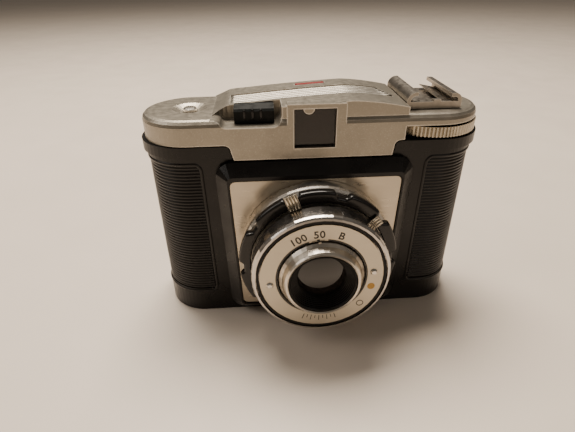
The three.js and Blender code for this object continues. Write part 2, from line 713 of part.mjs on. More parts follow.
place('gate_frame', gateFrame(), mattBlack);
place('roller_left', roller().translate([-rollerX, rollerY, 0]), steel);
place('roller_right', roller().translate([rollerX, rollerY, 0]), steel);
place('supply_pivot_lower', spoolPivot(FLOOR_HIGH, 1).translate([supplyX, 0, 0]), steel);
place('supply_pivot_upper', spoolPivot(flangeLow, -1).translate([supplyX, 0, 0]), steel);
place('take_up_pivot', spoolPivot(FLOOR_HIGH, 1), steel, windingGroup);
place('film_brake', filmBrake(), steel);

// ---- Winding -------------------------------------------------------------

function toothedOutline(count, root, tip, profile) {
  const points = [];
  for (let tooth = 0; tooth < count; tooth += 1) {
    for (const [share, height] of profile) {
      const angle = 2 * Math.PI * (tooth + share) / count;
      const radius = root + height * (tip - root);
      points.push([radius * Math.cos(angle), radius * Math.sin(angle)]);
    }
  }
  return outline(points);
}

function windingWheel() {
  const flutes = [[0, 0], [0.3, 1], [0.7, 1]];
  const edge = toothedOutline(WHEEL_TEETH, WHEEL_RADIUS - WHEEL_TOOTH, WHEEL_RADIUS, flutes);
  return prismZ(edge, wheelLow, wheelHigh)
    .subtract(rodZ(SHAFT_RADIUS + GAP, wheelLow - 1, wheelHigh + 1));
}

function windingShaft() {
  return rodZ(SHAFT_RADIUS, shaftLow, shelfLow + 2)
    .add(box(-2.4, 2.4, -0.7, 0.7, keyLow, shaftLow + 0.5));
}

function ratchetGear() {
  const saw = [[0, 0], [0.85, 1], [0.95, 1]];
  const edge = toothedOutline(RATCHET_TEETH, RATCHET_RADIUS - RATCHET_TOOTH, RATCHET_RADIUS, saw);
  return prismZ(edge, ratchetLow, ratchetHigh)
    .subtract(rodZ(SHAFT_RADIUS + GAP, ratchetLow - 1, ratchetHigh + 1));
}

function takeUpSpool() {
  const flange = SPOOL_FLANGE_THICK;
  return turnedZ([
    [SPOOL_BORE_RADIUS, SPOOL_LOW], [SPOOL_FLANGE_RADIUS, SPOOL_LOW],
    [SPOOL_FLANGE_RADIUS, SPOOL_LOW + flange], [SPOOL_CORE_RADIUS, SPOOL_LOW + flange],
    [SPOOL_CORE_RADIUS, spoolHigh - flange], [SPOOL_FLANGE_RADIUS, spoolHigh - flange],
    [SPOOL_FLANGE_RADIUS, spoolHigh], [SPOOL_BORE_RADIUS, spoolHigh], [SPOOL_BORE_RADIUS, SPOOL_LOW],
  ], MEDIUM)
    .subtract(box(-3.2, 3.2, -1.1, 1.1, keyLow - GAP, spoolHigh + 1))
    .subtract(box(-1, 1, -FAR, 0, SPOOL_LOW + 12, spoolHigh - 12));
}

function pawl() {
  const arm = outline([[-14.6, -2.2], [-8.6, -6.6], [-7.9, -5.6], [-9.8, -3.6], [-12.2, 0.6]]);
  const eye = rodZ(2.2, ratchetLow, pawlHigh, SMALL);
  const bore = rodZ(PAWL_PIVOT.radius + RUNNING_GAP, 0, FAR, SMALL);
  return eye.translate([PAWL_PIVOT.x, PAWL_PIVOT.y, 0])
    .add(prismZ(arm, ratchetLow, pawlHigh))
    .subtract(bore.translate([PAWL_PIVOT.x, PAWL_PIVOT.y, 0]));
}

function pawlScrew() {
  const head = pawlHigh + GAP;
  return turnedZ([
    [0, deckHigh + GAP], [PAWL_PIVOT.radius, deckHigh + GAP], [PAWL_PIVOT.radius, head],
    [2, head], [2, head + 0.6], [0, head + 0.6],
  ], SMALL).translate([PAWL_PIVOT.x, PAWL_PIVOT.y, 0]);
}

function pawlSpring() {
  const leaf = outline([
    [-14.9, -12], [-14.5, -12], [-12.2, -9], [-11.3, -6.2], [-11.7, -6.1], [-12.6, -8.9],
  ]);
  return prismZ(leaf, ratchetLow, ratchetHigh - 0.8);
}

place('winding_wheel', windingWheel(), nickel, windingGroup);
place('winding_shaft', windingShaft(), steel, windingGroup);
place('ratchet_gear', ratchetGear(), brass, windingGroup);
place('take_up_spool', takeUpSpool(), mattBlack, windingGroup);
place('pawl', pawl(), steel, windingGroup);
place('pawl_screw', pawlScrew(), steel, windingGroup);
place('pawl_spring', pawlSpring(), brass, windingGroup);

// ---- Lens unit -----------------------------------------------------------

// A point round the lens axis, as the move from it.
function ringAngle(degrees, radius) {
  return [radius * Math.cos(radians(degrees)), 0, radius * Math.sin(radians(degrees))];
}

function lensMount() {
  const flangeY = -bodyInside + GAP;
  return ringY(mountInner, MOUNT_TUBE_OUTER, mountFrontY, flangeY + 1)
    .add(ringY(mountInner, MOUNT_TUBE_OUTER + 2, flangeY, flangeY + 1));
}

function baseRing() {
  const back = plateFrontY - GAP;
  const front = back - BASE_RING_HIGH;
  const inner = MOUNT_TUBE_OUTER + 2 * GAP;
  const outer = baseRingOuter;
  const round = 2.4;
  const corner = [0, 30, 60, 90].map((degrees) => [
    outer - round + round * Math.cos(radians(degrees)),
    front + round - round * Math.sin(radians(degrees)),
  ]);
  return turnedY([[inner, back], [outer, back], ...corner, [inner, front], [inner, back]]);
}

// The black ring's outline: lobes with short notches between them.
function focusRing() {
  const shape = new THREE.Shape();
  const steps = 14;
  const pitch = 360 / LOBE_COUNT;
  const points = [];
  for (let lobe = 0; lobe < LOBE_COUNT; lobe += 1) {
    for (let step = 0; step < steps; step += 1) {
      const fromNotch = (step / steps - 0.5) * pitch;
      const into = THREE.MathUtils.clamp((NOTCH_HALF_ANGLE - Math.abs(fromNotch)) / NOTCH_SLOPE_ANGLE, 0, 1);
      const radius = lobeOuter - NOTCH_DEPTH * THREE.MathUtils.smoothstep(into, 0, 1);
      const angle = radians(FIRST_NOTCH_ANGLE + lobe * pitch + fromNotch);
      points.push(new THREE.Vector2(radius * Math.cos(angle), radius * Math.sin(angle)));
    }
  }
  shape.setFromPoints(points);
  return prismY(shape, lobeFrontY, lobeRearY)
    .subtract(rodY(MOUNT_TUBE_OUTER + RUNNING_GAP, lobeFrontY - 1, lobeRearY + 1, FINE));
}

function lensBarrel() {
  return turnedY([
    [sleeveInner, sleeveRearY], [sleeveOuter, sleeveRearY], [sleeveOuter, barrelRearY],
    [barrelOuter, barrelRearY], [barrelOuter, barrelFrontY + BEZEL_ROUND],
    [barrelOuter - 0.3, barrelFrontY + 0.8], [barrelOuter - 0.8, barrelFrontY + 0.2],
    [bezelInner, barrelFrontY], [bezelInner, shoulderY], [sleeveInner, shoulderY],
    [sleeveInner, sleeveRearY],
  ]);
}

function dialPlate() {
  let plate = ringY(dialInner, dialOuter, dialFaceY, dialBackY);
  for (const angle of Object.values(DIAL_SCREW_ANGLES)) {
    const hole = rodY(screwShank + GAP, dialFaceY - 1, 0, SMALL);
    plate = plate.subtract(hole.translate(ringAngle(angle, dialScrewRadius)));
  }
  return plate;
}

function trimRing() {
  return ringY(dialOuter + GAP, bezelInner - GAP, dialFaceY + 0.3, dialBackY);
}

function shutterCover() {
  let plate = ringY(rimOpening + 0.2, innerDisc, shoulderY + 0.2, coverPlateBackY);
  for (const angle of Object.values(DIAL_SCREW_ANGLES)) {
    const hole = rodY(screwShank + GAP, shoulderY - 1, 0, SMALL);
    plate = plate.subtract(hole.translate(ringAngle(angle, dialScrewRadius)));
  }
  return plate;
}

function dialScrew(angle) {
  const head = dialFaceY - 0.2;
  return turnedY([
    [0, head - 0.8], [0.9, head - 0.6], [1.4, head], [screwShank, head], [screwShank, coverPlateBackY + 0.8],
    [0, coverPlateBackY + 0.8],
  ], SMALL).translate(ringAngle(angle, dialScrewRadius));
}

function speedRing() {
  const back = dialFaceY + 1.4;
  const pointer = box(-0.5, 0.5, dialFaceY - 0.5, dialFaceY + 0.4, rimBase - 0.5, dialInner - GAP);
  return turnedY([
    [rimOpening, back], [rimBase, back], [rimBase, dialFaceY - 0.3], [rimBase - 1, dialFaceY - 1.6],
    [rimBase - 1.8, rimFrontY + 0.9], [rimBase - 2.3, rimFrontY + 0.2], [rimBase - 2.7, rimFrontY],
    [rimOpening, rimFrontY + 0.3], [rimOpening, back],
  ]).add(pointer.rotate([0, -4, 0]));
}

function frontCell() {
  const front = rimFrontY + 0.4;
  const back = barrelRearY - 0.1;
  const seatY = glassBackY + 1;
  return turnedY([
    [cellOuter - 0.4, front], [cellOuter, front], [cellOuter, back], [glassRadius - 0.7, back],
    [glassRadius - 0.7, seatY], [glassSeat, seatY], [glassSeat, glassFrontY - 1.2],
    [cellOuter - 2.2, glassFrontY - 1.2], [cellOuter - 1.8, front + 1.6], [cellOuter - 1, front + 1.6],
    [cellOuter - 0.4, front],
  ]);
}

function frontLens() {
  const r = glassRadius;
  return turnedY([
    [0, glassBackY], [0.5 * r, glassBackY + 0.1], [0.8 * r, glassBackY + 0.4], [r, glassBackY + 0.7],
    [r, glassFrontY + 1.4],
    [0.8 * r, glassFrontY + 0.8], [0.5 * r, glassFrontY + 0.3], [0.25 * r, glassFrontY + 0.1],
    [0, glassFrontY],
  ], MEDIUM);
}

function shutterPlate() {
  const post = [LEAF_PIVOT, 0, 0];
  return ringY(SHUTTER_OPENING, innerDisc, shutterPlateY.front, shutterPlateY.back)
    .add(rodY(1, shutterPlateY.front - 3, shutterPlateY.back, SMALL).translate([-post[0], 0, 0]))
    .add(rodY(1, shutterPlateY.front, shutterPlateY.back + 1.6, SMALL).translate(post));
}

function pivotedLeaf(pivotX, low, high, tipAngles, tipRadius, holes) {
  let leaf = rodY(2.6, low, high, SMALL).translate([pivotX, 0, 0]);
  tipAngles.forEach((angle) => {
    const reach = Math.abs(pivotX);
    const [dx, , dz] = ringAngle(angle, reach);
    const arm = box(-2, reach, low, high, -2.4, 2.4).rotate([0, -angle, 0]).translate([pivotX, 0, 0]);
    leaf = leaf.add(rodY(tipRadius, low, high).translate([pivotX + dx, 0, dz])).add(arm);
  });
  tipAngles.forEach((angle, i) => {
    const [dx, , dz] = ringAngle(angle, Math.abs(pivotX));
    if (holes[i]) leaf = leaf.subtract(rodY(holes[i], low - 1, high + 1).translate([pivotX + dx, 0, dz]));
  });
  return leaf.subtract(rodY(1 + RUNNING_GAP, low - 1, high + 1, SMALL).translate([pivotX, 0, 0]));
}

function shutterBlade() {
  const front = shutterPlateY.front - 1;
  return pivotedLeaf(-LEAF_PIVOT, front, front + leafThick, [0], SHUTTER_OPENING + 1, [0]);
}

function apertureDisc() {
  const front = shutterPlateY.back + leafThick;
  const stops = [180, 180 + STOP_SPACING];
  return pivotedLeaf(LEAF_PIVOT, front, front + leafThick, stops, LARGE_STOP + 1.6, [LARGE_STOP, SMALL_STOP]);
}

function shutterSpring() {
  const back = shutterPlateY.front - 1.5;
  return ringY(1.5, 2.4, back - 1.2, back, SMALL).translate([-LEAF_PIVOT, 0, 0]);
}

function rearCell() {
  const seat = REAR_GLASS_RADIUS + GAP;
  const outer = REAR_GLASS_RADIUS + 2.2;
  const lip = REAR_GLASS_RADIUS - 0.7;
  const { front, step, back } = rearCellY;
  return turnedY([
    [seat, back], [outer, back], [outer, step], [innerDisc, step], [innerDisc, front],
    [lip, front], [lip, front + REAR_LIP], [seat, front + REAR_LIP], [seat, back],
  ], MEDIUM);
}

function rearLens() {
  const front = rearCellY.front + REAR_LIP + GAP;
  const r = REAR_GLASS_RADIUS;
  return turnedY([
    [0, front + 0.4], [r, front], [r, front + 1.6], [r / 2, front + 2.3], [0, front + 2.5],
  ], MEDIUM);
}

// A thin ring on the sleeve with a tab that stands out past the barrel.
function leverRing({ angle, width, reach }, ringFront, tabFront) {
  const inner = sleeveOuter + RUNNING_GAP;
  const outer = barrelOuter - 0.3;
  const thick = LEVER_RING_THICK;
  const tab = box(outer - 0.4, barrelOuter + reach, tabFront, tabFront + 1, -width / 2, width / 2)
    .subtract(rodY(outer + 0.5, -FAR, ringFront, FINE))
    .subtract(rodY(outer + 0.5, ringFront + thick, FAR, FINE));
  return ringY(inner, outer, ringFront, ringFront + thick).add(tab.rotate([0, -angle, 0]));
}

function cockingLever() {
  return leverRing(COCKING, leverFrontY, leverFrontY);
}

function apertureLever() {
  return leverRing(APERTURE, leverFrontY + 0.8, leverFrontY + 0.3);
}

place('lens_mount', lensMount(), steel, lensGroup);
place('base_ring', baseRing(), chrome, lensGroup);
place('focus_ring', focusRing(), blackPlastic, lensGroup);
place('lens_barrel', lensBarrel(), chrome, lensGroup);
place('dial_plate', dialPlate(), satinPlate, lensGroup);
place('trim_ring', trimRing(), mattBlack, lensGroup);
place('shutter_cover', shutterCover(), mattBlack, lensGroup);
place('dial_screw_left', dialScrew(DIAL_SCREW_ANGLES.left), chrome, lensGroup);
place('dial_screw_right', dialScrew(DIAL_SCREW_ANGLES.right), chrome, lensGroup);
place('speed_ring', speedRing(), chrome, lensGroup);
place('front_cell', frontCell(), mattBlack, lensGroup);
place('front_lens', frontLens(), glass, lensGroup);
place('shutter_plate', shutterPlate(), mattBlack, lensGroup);
place('shutter_blade', shutterBlade(), mattBlack, lensGroup);
place('shutter_spring', shutterSpring(), steel, lensGroup);
place('aperture_disc', apertureDisc(), mattBlack, lensGroup);
place('rear_cell', rearCell(), mattBlack, lensGroup);
place('rear_lens', rearLens(), glass, lensGroup);
place('cocking_lever', cockingLever(), nickel, lensGroup);
place('aperture_lever', apertureLever(), nickel, lensGroup);

// ---- Top cover -----------------------------------------------------------

// The raised part's outline from in front, between two places, moved up by a lift.
function crownOutline(left, right, low, lift) {
  const curve = new THREE.SplineCurve(CROWN.map(([x, rise]) => new THREE.Vector2(x, coverTop + rise)));
  const tops = curve.getPoints(40).filter(({ x }) => x > left && x < right);
  const heightAt = (x) => {
    const points = curve.getPoints(200);
    const next = points.findIndex((point) => point.x >= x);
    return points[Math.max(next, 0)].y;
  };
  const shape = new THREE.Shape();
  shape.moveTo(right, low);
  shape.lineTo(right, heightAt(right) + lift);
  tops.reverse().forEach(({ x, y }) => shape.lineTo(x, y + lift));
  shape.lineTo(left, heightAt(left) + lift);
  shape.lineTo(left, low);
  return shape;
}

// The release recess seen from in front, grown by a margin.
function recessFront(margin) {
  const floor = recessFloor - margin;
  const shape = new THREE.Shape();
  shape.moveTo(-33.7, floor);
  shape.lineTo(-16.6, floor);
  shape.quadraticCurveTo(-14.2 + margin, floor, -13.4 + margin, recessFloor + 2.1);
  shape.lineTo(-11.6 + margin, browTop + 0.6);
  shape.lineTo(-11.6 + margin, browTop + 10);
  shape.lineTo(-43 - margin, browTop + 10);
  shape.lineTo(-43 - margin, coverTop + 1 - margin);
  shape.lineTo(-41.2 - margin, coverTop + 0.1 - margin);
  shape.quadraticCurveTo(-37.5 - margin, coverTop - 0.2 - margin, -36.4 - margin, recessFloor + 1.7);
  shape.quadraticCurveTo(-35.6 - margin, floor, -33.7, floor);
  return shape;
}

function recessPlan(margin) {
  const back = recessBackY + margin;
  const shape = new THREE.Shape();
  shape.moveTo(-43 - margin, -FAR);
  shape.lineTo(-10 + margin, -FAR);
  shape.lineTo(-13 + margin, back);
  shape.lineTo(-32, back);
  shape.quadraticCurveTo(-38 - margin, back, -40 - margin, -13);
  shape.lineTo(-42.5 - margin, -coverHalfDepth);
  return shape;
}

function recess(margin) {
  return prismY(recessFront(margin), -FAR, 0)
    .intersect(prismZ(recessPlan(margin), recessFloor - 5, FAR));
}

function coverOutside() {
  const underShelf = box(shelfX, FAR, -FAR, FAR, 0, shelfLow);
  const brow = prismY(
    roundedRectangle(BROW.left, BROW.right, coverTop - 3, browTop, 0.4), -coverHalfDepth, raisedFrontY + 3,
  );
  return roundedPlanSolid(coverHalfDepth, coverLow, coverTop, COVER_ROUND)
    .subtract(underShelf)
    .add(prismY(crownOutline(CROWN[0][0], raisedRight, coverTop - 2, 0), raisedFrontY, coverHalfDepth))
    .add(brow)
    .add(prismY(apronOutline(GAP), -coverHalfDepth, apronInnerY));
}

function coverHollow() {
  const wallX = shelfX - COVER_WALL;
  const lower = roundedPlanSolid(coverInside, coverLow - 1, coverUnderside, COVER_ROUND - 0.5)
    .intersect(box(-FAR, wallX, -FAR, FAR, 0, FAR));
  const underCrown = crownOutline(-37, wallX, coverUnderside - COVER_ROUND, -COVER_WALL);
  const upper = prismY(underCrown, raisedFrontY + COVER_WALL, coverInside);
  const screwPad = rodZ(DISH.radius + 1, bossHigh + GAP, coverTop).translate([supplyX, 0, 0]);
  return lower.add(upper).subtract(recess(COVER_WALL)).subtract(screwPad);
}

function fluteBand() {
  const { front, back, left, rightFront, rightBack, depth } = FLUTES;
  const band = prismY(crownOutline(left, rightFront, browTop - 8, 4), front, back);
  const under = prismY(crownOutline(left - 1, raisedRight, browTop - 10, -depth), -FAR, FAR);
  const ends = outline([
    [left, front - 1], [rightFront, front - 1], [rightBack, back + 1], [left, back + 1],
  ]);
  return band.subtract(under).intersect(prismZ(ends, 0, FAR));
}

function badge(clearance, lift) {
  const { left, right, front, back, thick } = BADGE;
  const above = crownOutline(left - clearance, right + clearance, browTop - 6, lift);
  const below = crownOutline(left - 2, right + 2, browTop - 8, -thick - clearance);
  return prismY(above, front - clearance, back + clearance).subtract(prismY(below, front - 2, back + 2));
}

function dish() {
  const floor = coverTop - DISH.depth;
  return turnedZ([
    [0, floor], [DISH.floorRadius, floor], [DISH.radius, coverTop],
    [DISH.radius, coverTop + 1], [0, coverTop + 1],
  ], MEDIUM);
}

// The finder's window in the front, with a small tab at its top, and the eye window at the back.
function finderOpenings(cover) {
  const { left, right } = WINDOW;
  const low = coverTop + WINDOW.low;
  const high = coverTop + WINDOW.high;
  const tab = rodY(2.2, -coverHalfDepth + 0.5, -coverHalfDepth + 1.3, SMALL)
    .intersect(box(-FAR, FAR, -FAR, FAR, -FAR, 0.5));
  const eyeLow = coverTop + EYE_WINDOW.low;
  const eyeHigh = coverTop + EYE_WINDOW.high;
  return cover
    .subtract(box(left, right, -FAR, -coverInside + 2, low, high))
    .subtract(box(left - 1, right + 1, apronInnerY - 0.1, apronInnerY + 1.5, low - 1, high + 0.9))
    .add(tab.translate([-2.7, 0, high]))
    .subtract(box(-EYE_WINDOW.half, EYE_WINDOW.half, coverInside - 1, FAR, eyeLow, eyeHigh));
}

function topCover() {
  const keySlot = box(
    TONGUE.left - KEY_TRAVEL - GAP, TONGUE.right + GAP, leverY - 1.3, leverY + 1.5, 0, recessFloor + 0.1,
  );
  const wheelRoom = rodZ(WHEEL_RADIUS + 2 * RUNNING_GAP, 0, shelfLow, FINE);
  const screwHole = rodZ(COVER_SCREW.shank + GAP, coverUnderside - 2, FAR, SMALL);
  const shaftHole = rodZ(SHAFT_RADIUS + RUNNING_GAP, shelfLow - 1, shelfLow + 2.4);
  let cover = finderOpenings(coverOutside().subtract(coverHollow()).subtract(recess(0)))
    .subtract(keySlot)
    .subtract(wheelRoom.translate([wheelX, 0, 0]))
    .subtract(shaftHole.translate([wheelX, 0, 0]))
    .subtract(dish().add(screwHole).translate([supplyX, 0, 0]))
    .subtract(fluteBand())
    .subtract(badge(GAP, 3));
  for (const [x, y] of rivetPlaces) {
    const hole = rodZ(RIVET.shank + GAP, shelfLow - 1, coverTop + 1, SMALL);
    cover = cover.subtract(hole.translate([x, y, 0]));
  }
  return cover;
}

function coverScrew() {
  const { shank, head, length } = COVER_SCREW;
  const low = coverTop - DISH.depth + GAP;
  return turnedZ([
    [0, low - length], [shank, low - length], [shank, low], [head, low], [head, low + 0.9],
    [head - 0.6, low + 1.4], [0, low + 1.5],
  ], MEDIUM)
    .subtract(box(-FAR, FAR, -0.4, 0.4, low + 0.8, low + 2))
    .translate([supplyX, 0, 0]);
}

function finderTube() {
  const eyeHalfX = EYE_WINDOW.half + FINDER_WALL;
  const eyeHalfZ = (EYE_WINDOW.high - EYE_WINDOW.low) / 2 + FINDER_WALL;
  const middle = (WINDOW.left + WINDOW.right) / 2;
  const front = apronInnerY + 1.5;
  const back = coverInside - 2;
  const shrink = (half) => half - FINDER_WALL;
  const frontHalf = [FINDER.halfX, FINDER.halfZ];
  const backHalf = [eyeHalfX, eyeHalfZ];
  const outside = frustumY(frontHalf, backHalf, front, back);
  const inside = frustumY(frontHalf.map(shrink), backHalf.map(shrink), front - 0.01, back + 0.01);
  return outside.subtract(inside).translate([middle, 0, coverTop + FINDER.z]);
}

function finderGlass() {
  const front = apronInnerY + GAP;
  const margin = 0.6;
  return box(
    WINDOW.left - margin, WINDOW.right + margin, front, front + GLASS_THICK,
    coverTop + WINDOW.low - margin, coverTop + WINDOW.high + margin,
  );
}

function eyepieceGlass() {
  const back = coverInside - GAP;
  const half = EYE_WINDOW.half + 1;
  return box(
    -half, half, back - GLASS_THICK, back, coverTop + EYE_WINDOW.low - 0.8, coverTop + EYE_WINDOW.high + 0.5,
  );
}

place('top_cover', topCover(), silverPaint);
place('cover_screw', coverScrew(), chrome);
place('cover_badge', badge(0, 0), redPlastic);
place('finder_tube', finderTube(), mattBlack);
place('finder_glass', finderGlass(), glass);
place('eyepiece_glass', eyepieceGlass(), glass);

// ---- Accessory shoe ------------------------------------------------------

// One side of the channel's section, folded up and over: to the lip, or back from it.
function shoeFold(shape, wall, side, bend, toLip) {
  const outerX = wall - side * bend;
  const innerBend = bend - SHOE_WALL;
  const top = shoeTop - (side > 0 ? 0.8 : 0);
  const lipX = wall - side * SHOE_LIP;
  const innerX = wall - side * SHOE_WALL;
  const upright = side > 0 ? 0 : Math.PI;
  if (toLip) {
    shape.lineTo(wall, top - bend);
    shape.absarc(outerX, top - bend, bend, upright, RIGHT_ANGLE, side < 0);
    shape.lineTo(lipX, top);
    shape.lineTo(lipX, top - SHOE_WALL);
    shape.absarc(innerX - side * innerBend, top - bend, innerBend, RIGHT_ANGLE, upright, side > 0);
    shape.lineTo(innerX, shoeFloorTop);
  } else {
    shape.lineTo(innerX, shoeFloorTop);
    shape.absarc(innerX - side * innerBend, top - bend, innerBend, upright, RIGHT_ANGLE, side < 0);
    shape.lineTo(lipX, top - SHOE_WALL);
    shape.lineTo(lipX, top);
    shape.absarc(outerX, top - bend, bend, RIGHT_ANGLE, upright, side > 0);
  }
}

// One channel with a big bend at the left, a smaller one at the right and a stop at its front.
function shoeBody() {
  const apronTop = coverTop + SHOE_APRON.high;
  const { front, back } = SHOE;
  const shape = new THREE.Shape();
  shape.moveTo(shoeLeft, shoeLow);
  shape.lineTo(shoeRight, shoeLow);
  shoeFold(shape, shoeRight, 1, SHOE_BEND_RIGHT, true);
  shoeFold(shape, shoeLeft, -1, SHOE_BEND_LEFT, false);
  let shoe = prismY(shape, front, back, 6)
    .add(box(shoeLeft + 1, shoeRight - 0.4, front, front + SHOE_APRON.thick, shoeLow, apronTop))
    .add(box(SHOE_STOP.left, SHOE_STOP.right, front, front + 2, apronTop - 1, apronTop + SHOE_STOP.high));
  for (const [x, y] of rivetPlaces) {
    const hole = rodZ(RIVET.shank + GAP, shoeLow - 1, shoeFloorTop + 1, SMALL);
    shoe = shoe.subtract(hole.translate([x, y, 0]));
  }
  return shoe;
}

function shoeSpring() {
  const right = shoeRight - SHOE_WALL - GAP;
  const left = right - 6;
  const low = shoeFloorTop + GAP;
  const leaf = outline([[right, low], [right, low + 0.4], [left, low + 1.7], [left, low + 1.3]]);
  return prismY(leaf, SHOE.front + 3, SHOE.back - 1);
}

function rivet([x, y]) {
  const low = shoeFloorTop + 0.15;
  return turnedZ([
    [0, shelfLow + 0.4], [RIVET.shank, shelfLow + 0.4], [RIVET.shank, low], [RIVET.head, low],
    [RIVET.head - 0.4, low + 0.4], [0, low + 0.6],
  ], SMALL).translate([x, y, 0]);
}

place('shoe_channel', shoeBody(), steel);
place('shoe_spring', shoeSpring(), steel);
place('shoe_rivet_front', rivet(rivetPlaces[0]), steel);
place('shoe_rivet_back', rivet(rivetPlaces[1]), steel);

// ---- Release -------------------------------------------------------------

function releaseKey() {
  const low = recessFloor + 0.4;
  const high = keyHigh + 0.9;
  const side = outline([
    [keyFrontY, low], [keyBackY, low], [keyBackY, high], [keyBackY - 1, high],
    [keyFrontY + 0.8, keyHigh], [keyFrontY, keyHigh - 0.8],
  ]);
  const tongueLow = deckHigh + TONGUE.aboveDeck;
  return prismX(side, KEY.left, KEY.right)
    .add(box(TONGUE.left, TONGUE.right, leverY - 0.8, leverY + 1, tongueLow, low + 0.5));
}

function releaseLever() {
  const { up, down, pin } = LEVER;
  const shape = outline([
    [-1.1, -down], [1.1, -down], [1.6, -1.6], [3.6, 1.6], [3.6, up], [2.1, up], [2.1, 2.6],
    [-2.2, 2.6], [-2.2, up], [-3.8, up], [-3.8, 1.6], [-1.6, -1.6],
  ]);
  return prismY(shape, leverY - LEVER.thick / 2, leverBackY)
    .subtract(rodY(pin + RUNNING_GAP, -FAR, FAR, SMALL))
    .translate([LEVER.x, 0, leverZ]);
}

function leverScrew() {
  return turnedY([
    [0, leverY - 3.7], [LEVER.pin, leverY - 3.7], [LEVER.pin, leverBackY + 2.3], [2, leverBackY + 2.3],
    [2, leverBackY + 3], [0, leverBackY + 3],
  ], SMALL).translate([LEVER.x, 0, leverZ]);
}

function releaseSpring() {
  return ringY(LEVER.pin + GAP, 2.3, leverBackY + GAP, leverBackY + 2, SMALL).translate([LEVER.x, 0, leverZ]);
}

place('release_key', releaseKey(), blackPlastic);
place('release_lever', releaseLever(), steel);
place('release_lever_screw', leverScrew(), steel);
place('release_spring', releaseSpring(), steel);

// ---- Back door -----------------------------------------------------------

function backDoor() {
  let door = planSolid(BODY_HALF_DEPTH, 0, doorHigh)
    .subtract(planSolid(bodyInside, FLOOR_HIGH, FAR))
    .intersect(box(-FAR, FAR, doorLowY, FAR, -1, FAR));
  const spans = [[HINGE_LOW, DOOR_KNUCKLE_LOW - GAP], [DOOR_KNUCKLE_HIGH + GAP, hingeHigh]];
  for (const [low, high] of spans) {
    door = door.subtract(knuckleRoom(low, high + HINGE.head))
      .subtract(box(-FAR, hingeX + 3.3, 0, hingeY + 0.3, low - GAP, high + GAP));
  }
  const pinRoom = rodZ(HINGE.pin + RUNNING_GAP, 0, FAR, SMALL).translate([hingeX, hingeY, 0]);
  door = door
    .add(knuckle(DOOR_KNUCKLE_LOW, DOOR_KNUCKLE_HIGH))
    .subtract(pinRoom)
    .subtract(rodY(RED_WINDOW_RADIUS + GAP, 0, FAR).translate([0, 0, lensZ]));
  const { left, right, half, width, proud } = WINDOW_RAIL;
  for (const low of [lensZ + half, lensZ - half - width]) {
    door = door.add(box(left, right, BODY_HALF_DEPTH - 0.5, BODY_HALF_DEPTH + proud, low, low + width));
  }
  const { slotHalf } = LATCH;
  return door.subtract(box(
    latchLeft - 1.5, latchRight - 1.5, bodyInside - 1, FAR, lensZ - slotHalf, lensZ + slotHalf,
  ));
}

function redWindow() {
  return rodY(RED_WINDOW_RADIUS, bodyInside + 0.5, BODY_HALF_DEPTH - 0.4).translate([0, 0, lensZ]);
}

function windowShutter() {
  const half = WINDOW_RAIL.half - GAP;
  let shutter = prismY(roundedRectangle(-7, 7, -half, half, 1), doorFace, doorFace + 0.8);
  for (const left of [-5.5, -3.7]) {
    shutter = shutter.add(box(left, left + 1, doorFace + 0.4, doorFace + 1.6, -4, 4));
  }
  return shutter.translate([0, 0, lensZ]);
}

function latchSlider() {
  const plate = roundedRectangle(latchLeft - 3, latchRight, -LATCH.half, LATCH.half, 1.5);
  const keeperBack = bodyInside - 0.8;
  let slider = prismY(plate, doorFace, doorFace + 1)
    .add(box(latchLeft + 3, latchRight - 2, keeperBack - 0.6, doorFace + 0.5, -2, 2))
    .add(box(latchLeft, latchRight + 0.5, keeperBack - 1.2, keeperBack, -3.5, 3.5));
  for (let rib = 0; rib < 4; rib += 1) {
    const x = latchLeft - 1 + rib * 1.8;
    slider = slider.add(box(x, x + 0.8, doorFace + 0.5, doorFace + 1.6, -6, 6));
  }
  return slider.translate([0, 0, lensZ]);
}

function pressurePlate() {
  const halfX = gatePlateHalf - 1.5;
  const { half } = PRESSURE_PLATE;
  return box(-halfX, halfX, pressureFrontY, pressureBackY, lensZ - half, lensZ + half)
    .subtract(rodY(RED_WINDOW_RADIUS + 1.5, 0, FAR).translate([0, 0, lensZ]));
}

// A flat leaf with a raised middle, between the plate and the door.
function pressureSpring(x) {
  const { half, arm, width, thick } = PRESSURE_SPRING;
  const low = pressureBackY + 2 * GAP;
  const high = bodyInside - 0.2;
  const side = outline([
    [high - thick, -half], [high, -half], [high, -arm], [low + thick, 0], [high, arm], [high, half],
    [high - thick, half], [high - thick, arm], [low, 0], [high - thick, -arm],
  ]);
  return prismX(side, x - width / 2, x + width / 2).translate([0, 0, lensZ]);
}

function hingePin() {
  const headLow = hingeHigh + GAP;
  return turnedZ([
    [0, HINGE_LOW + 1], [HINGE.pin, HINGE_LOW + 1], [HINGE.pin, headLow],
    [HINGE.radius - 0.4, headLow], [HINGE.radius - 0.4, headLow + 0.8], [0, headLow + 0.8],
  ], SMALL);
}

place('back_door', backDoor(), blackPlastic);
place('hinge_pin', hingePin(), steel, hingeGroup);
place('red_window', redWindow(), redPlastic);
place('window_shutter', windowShutter(), steel);
place('door_latch', latchSlider(), chrome);
place('pressure_plate', pressurePlate(), mattBlack);
place('pressure_spring_left', pressureSpring(-PRESSURE_SPRING.x), steel);
place('pressure_spring_right', pressureSpring(PRESSURE_SPRING.x), steel);

export default camera;
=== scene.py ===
import json
import math

import bmesh
import bpy
from bpy.props import FloatProperty, FloatVectorProperty, IntProperty, PointerProperty
from mathutils import Matrix, Vector
from mathutils.bvhtree import BVHTree


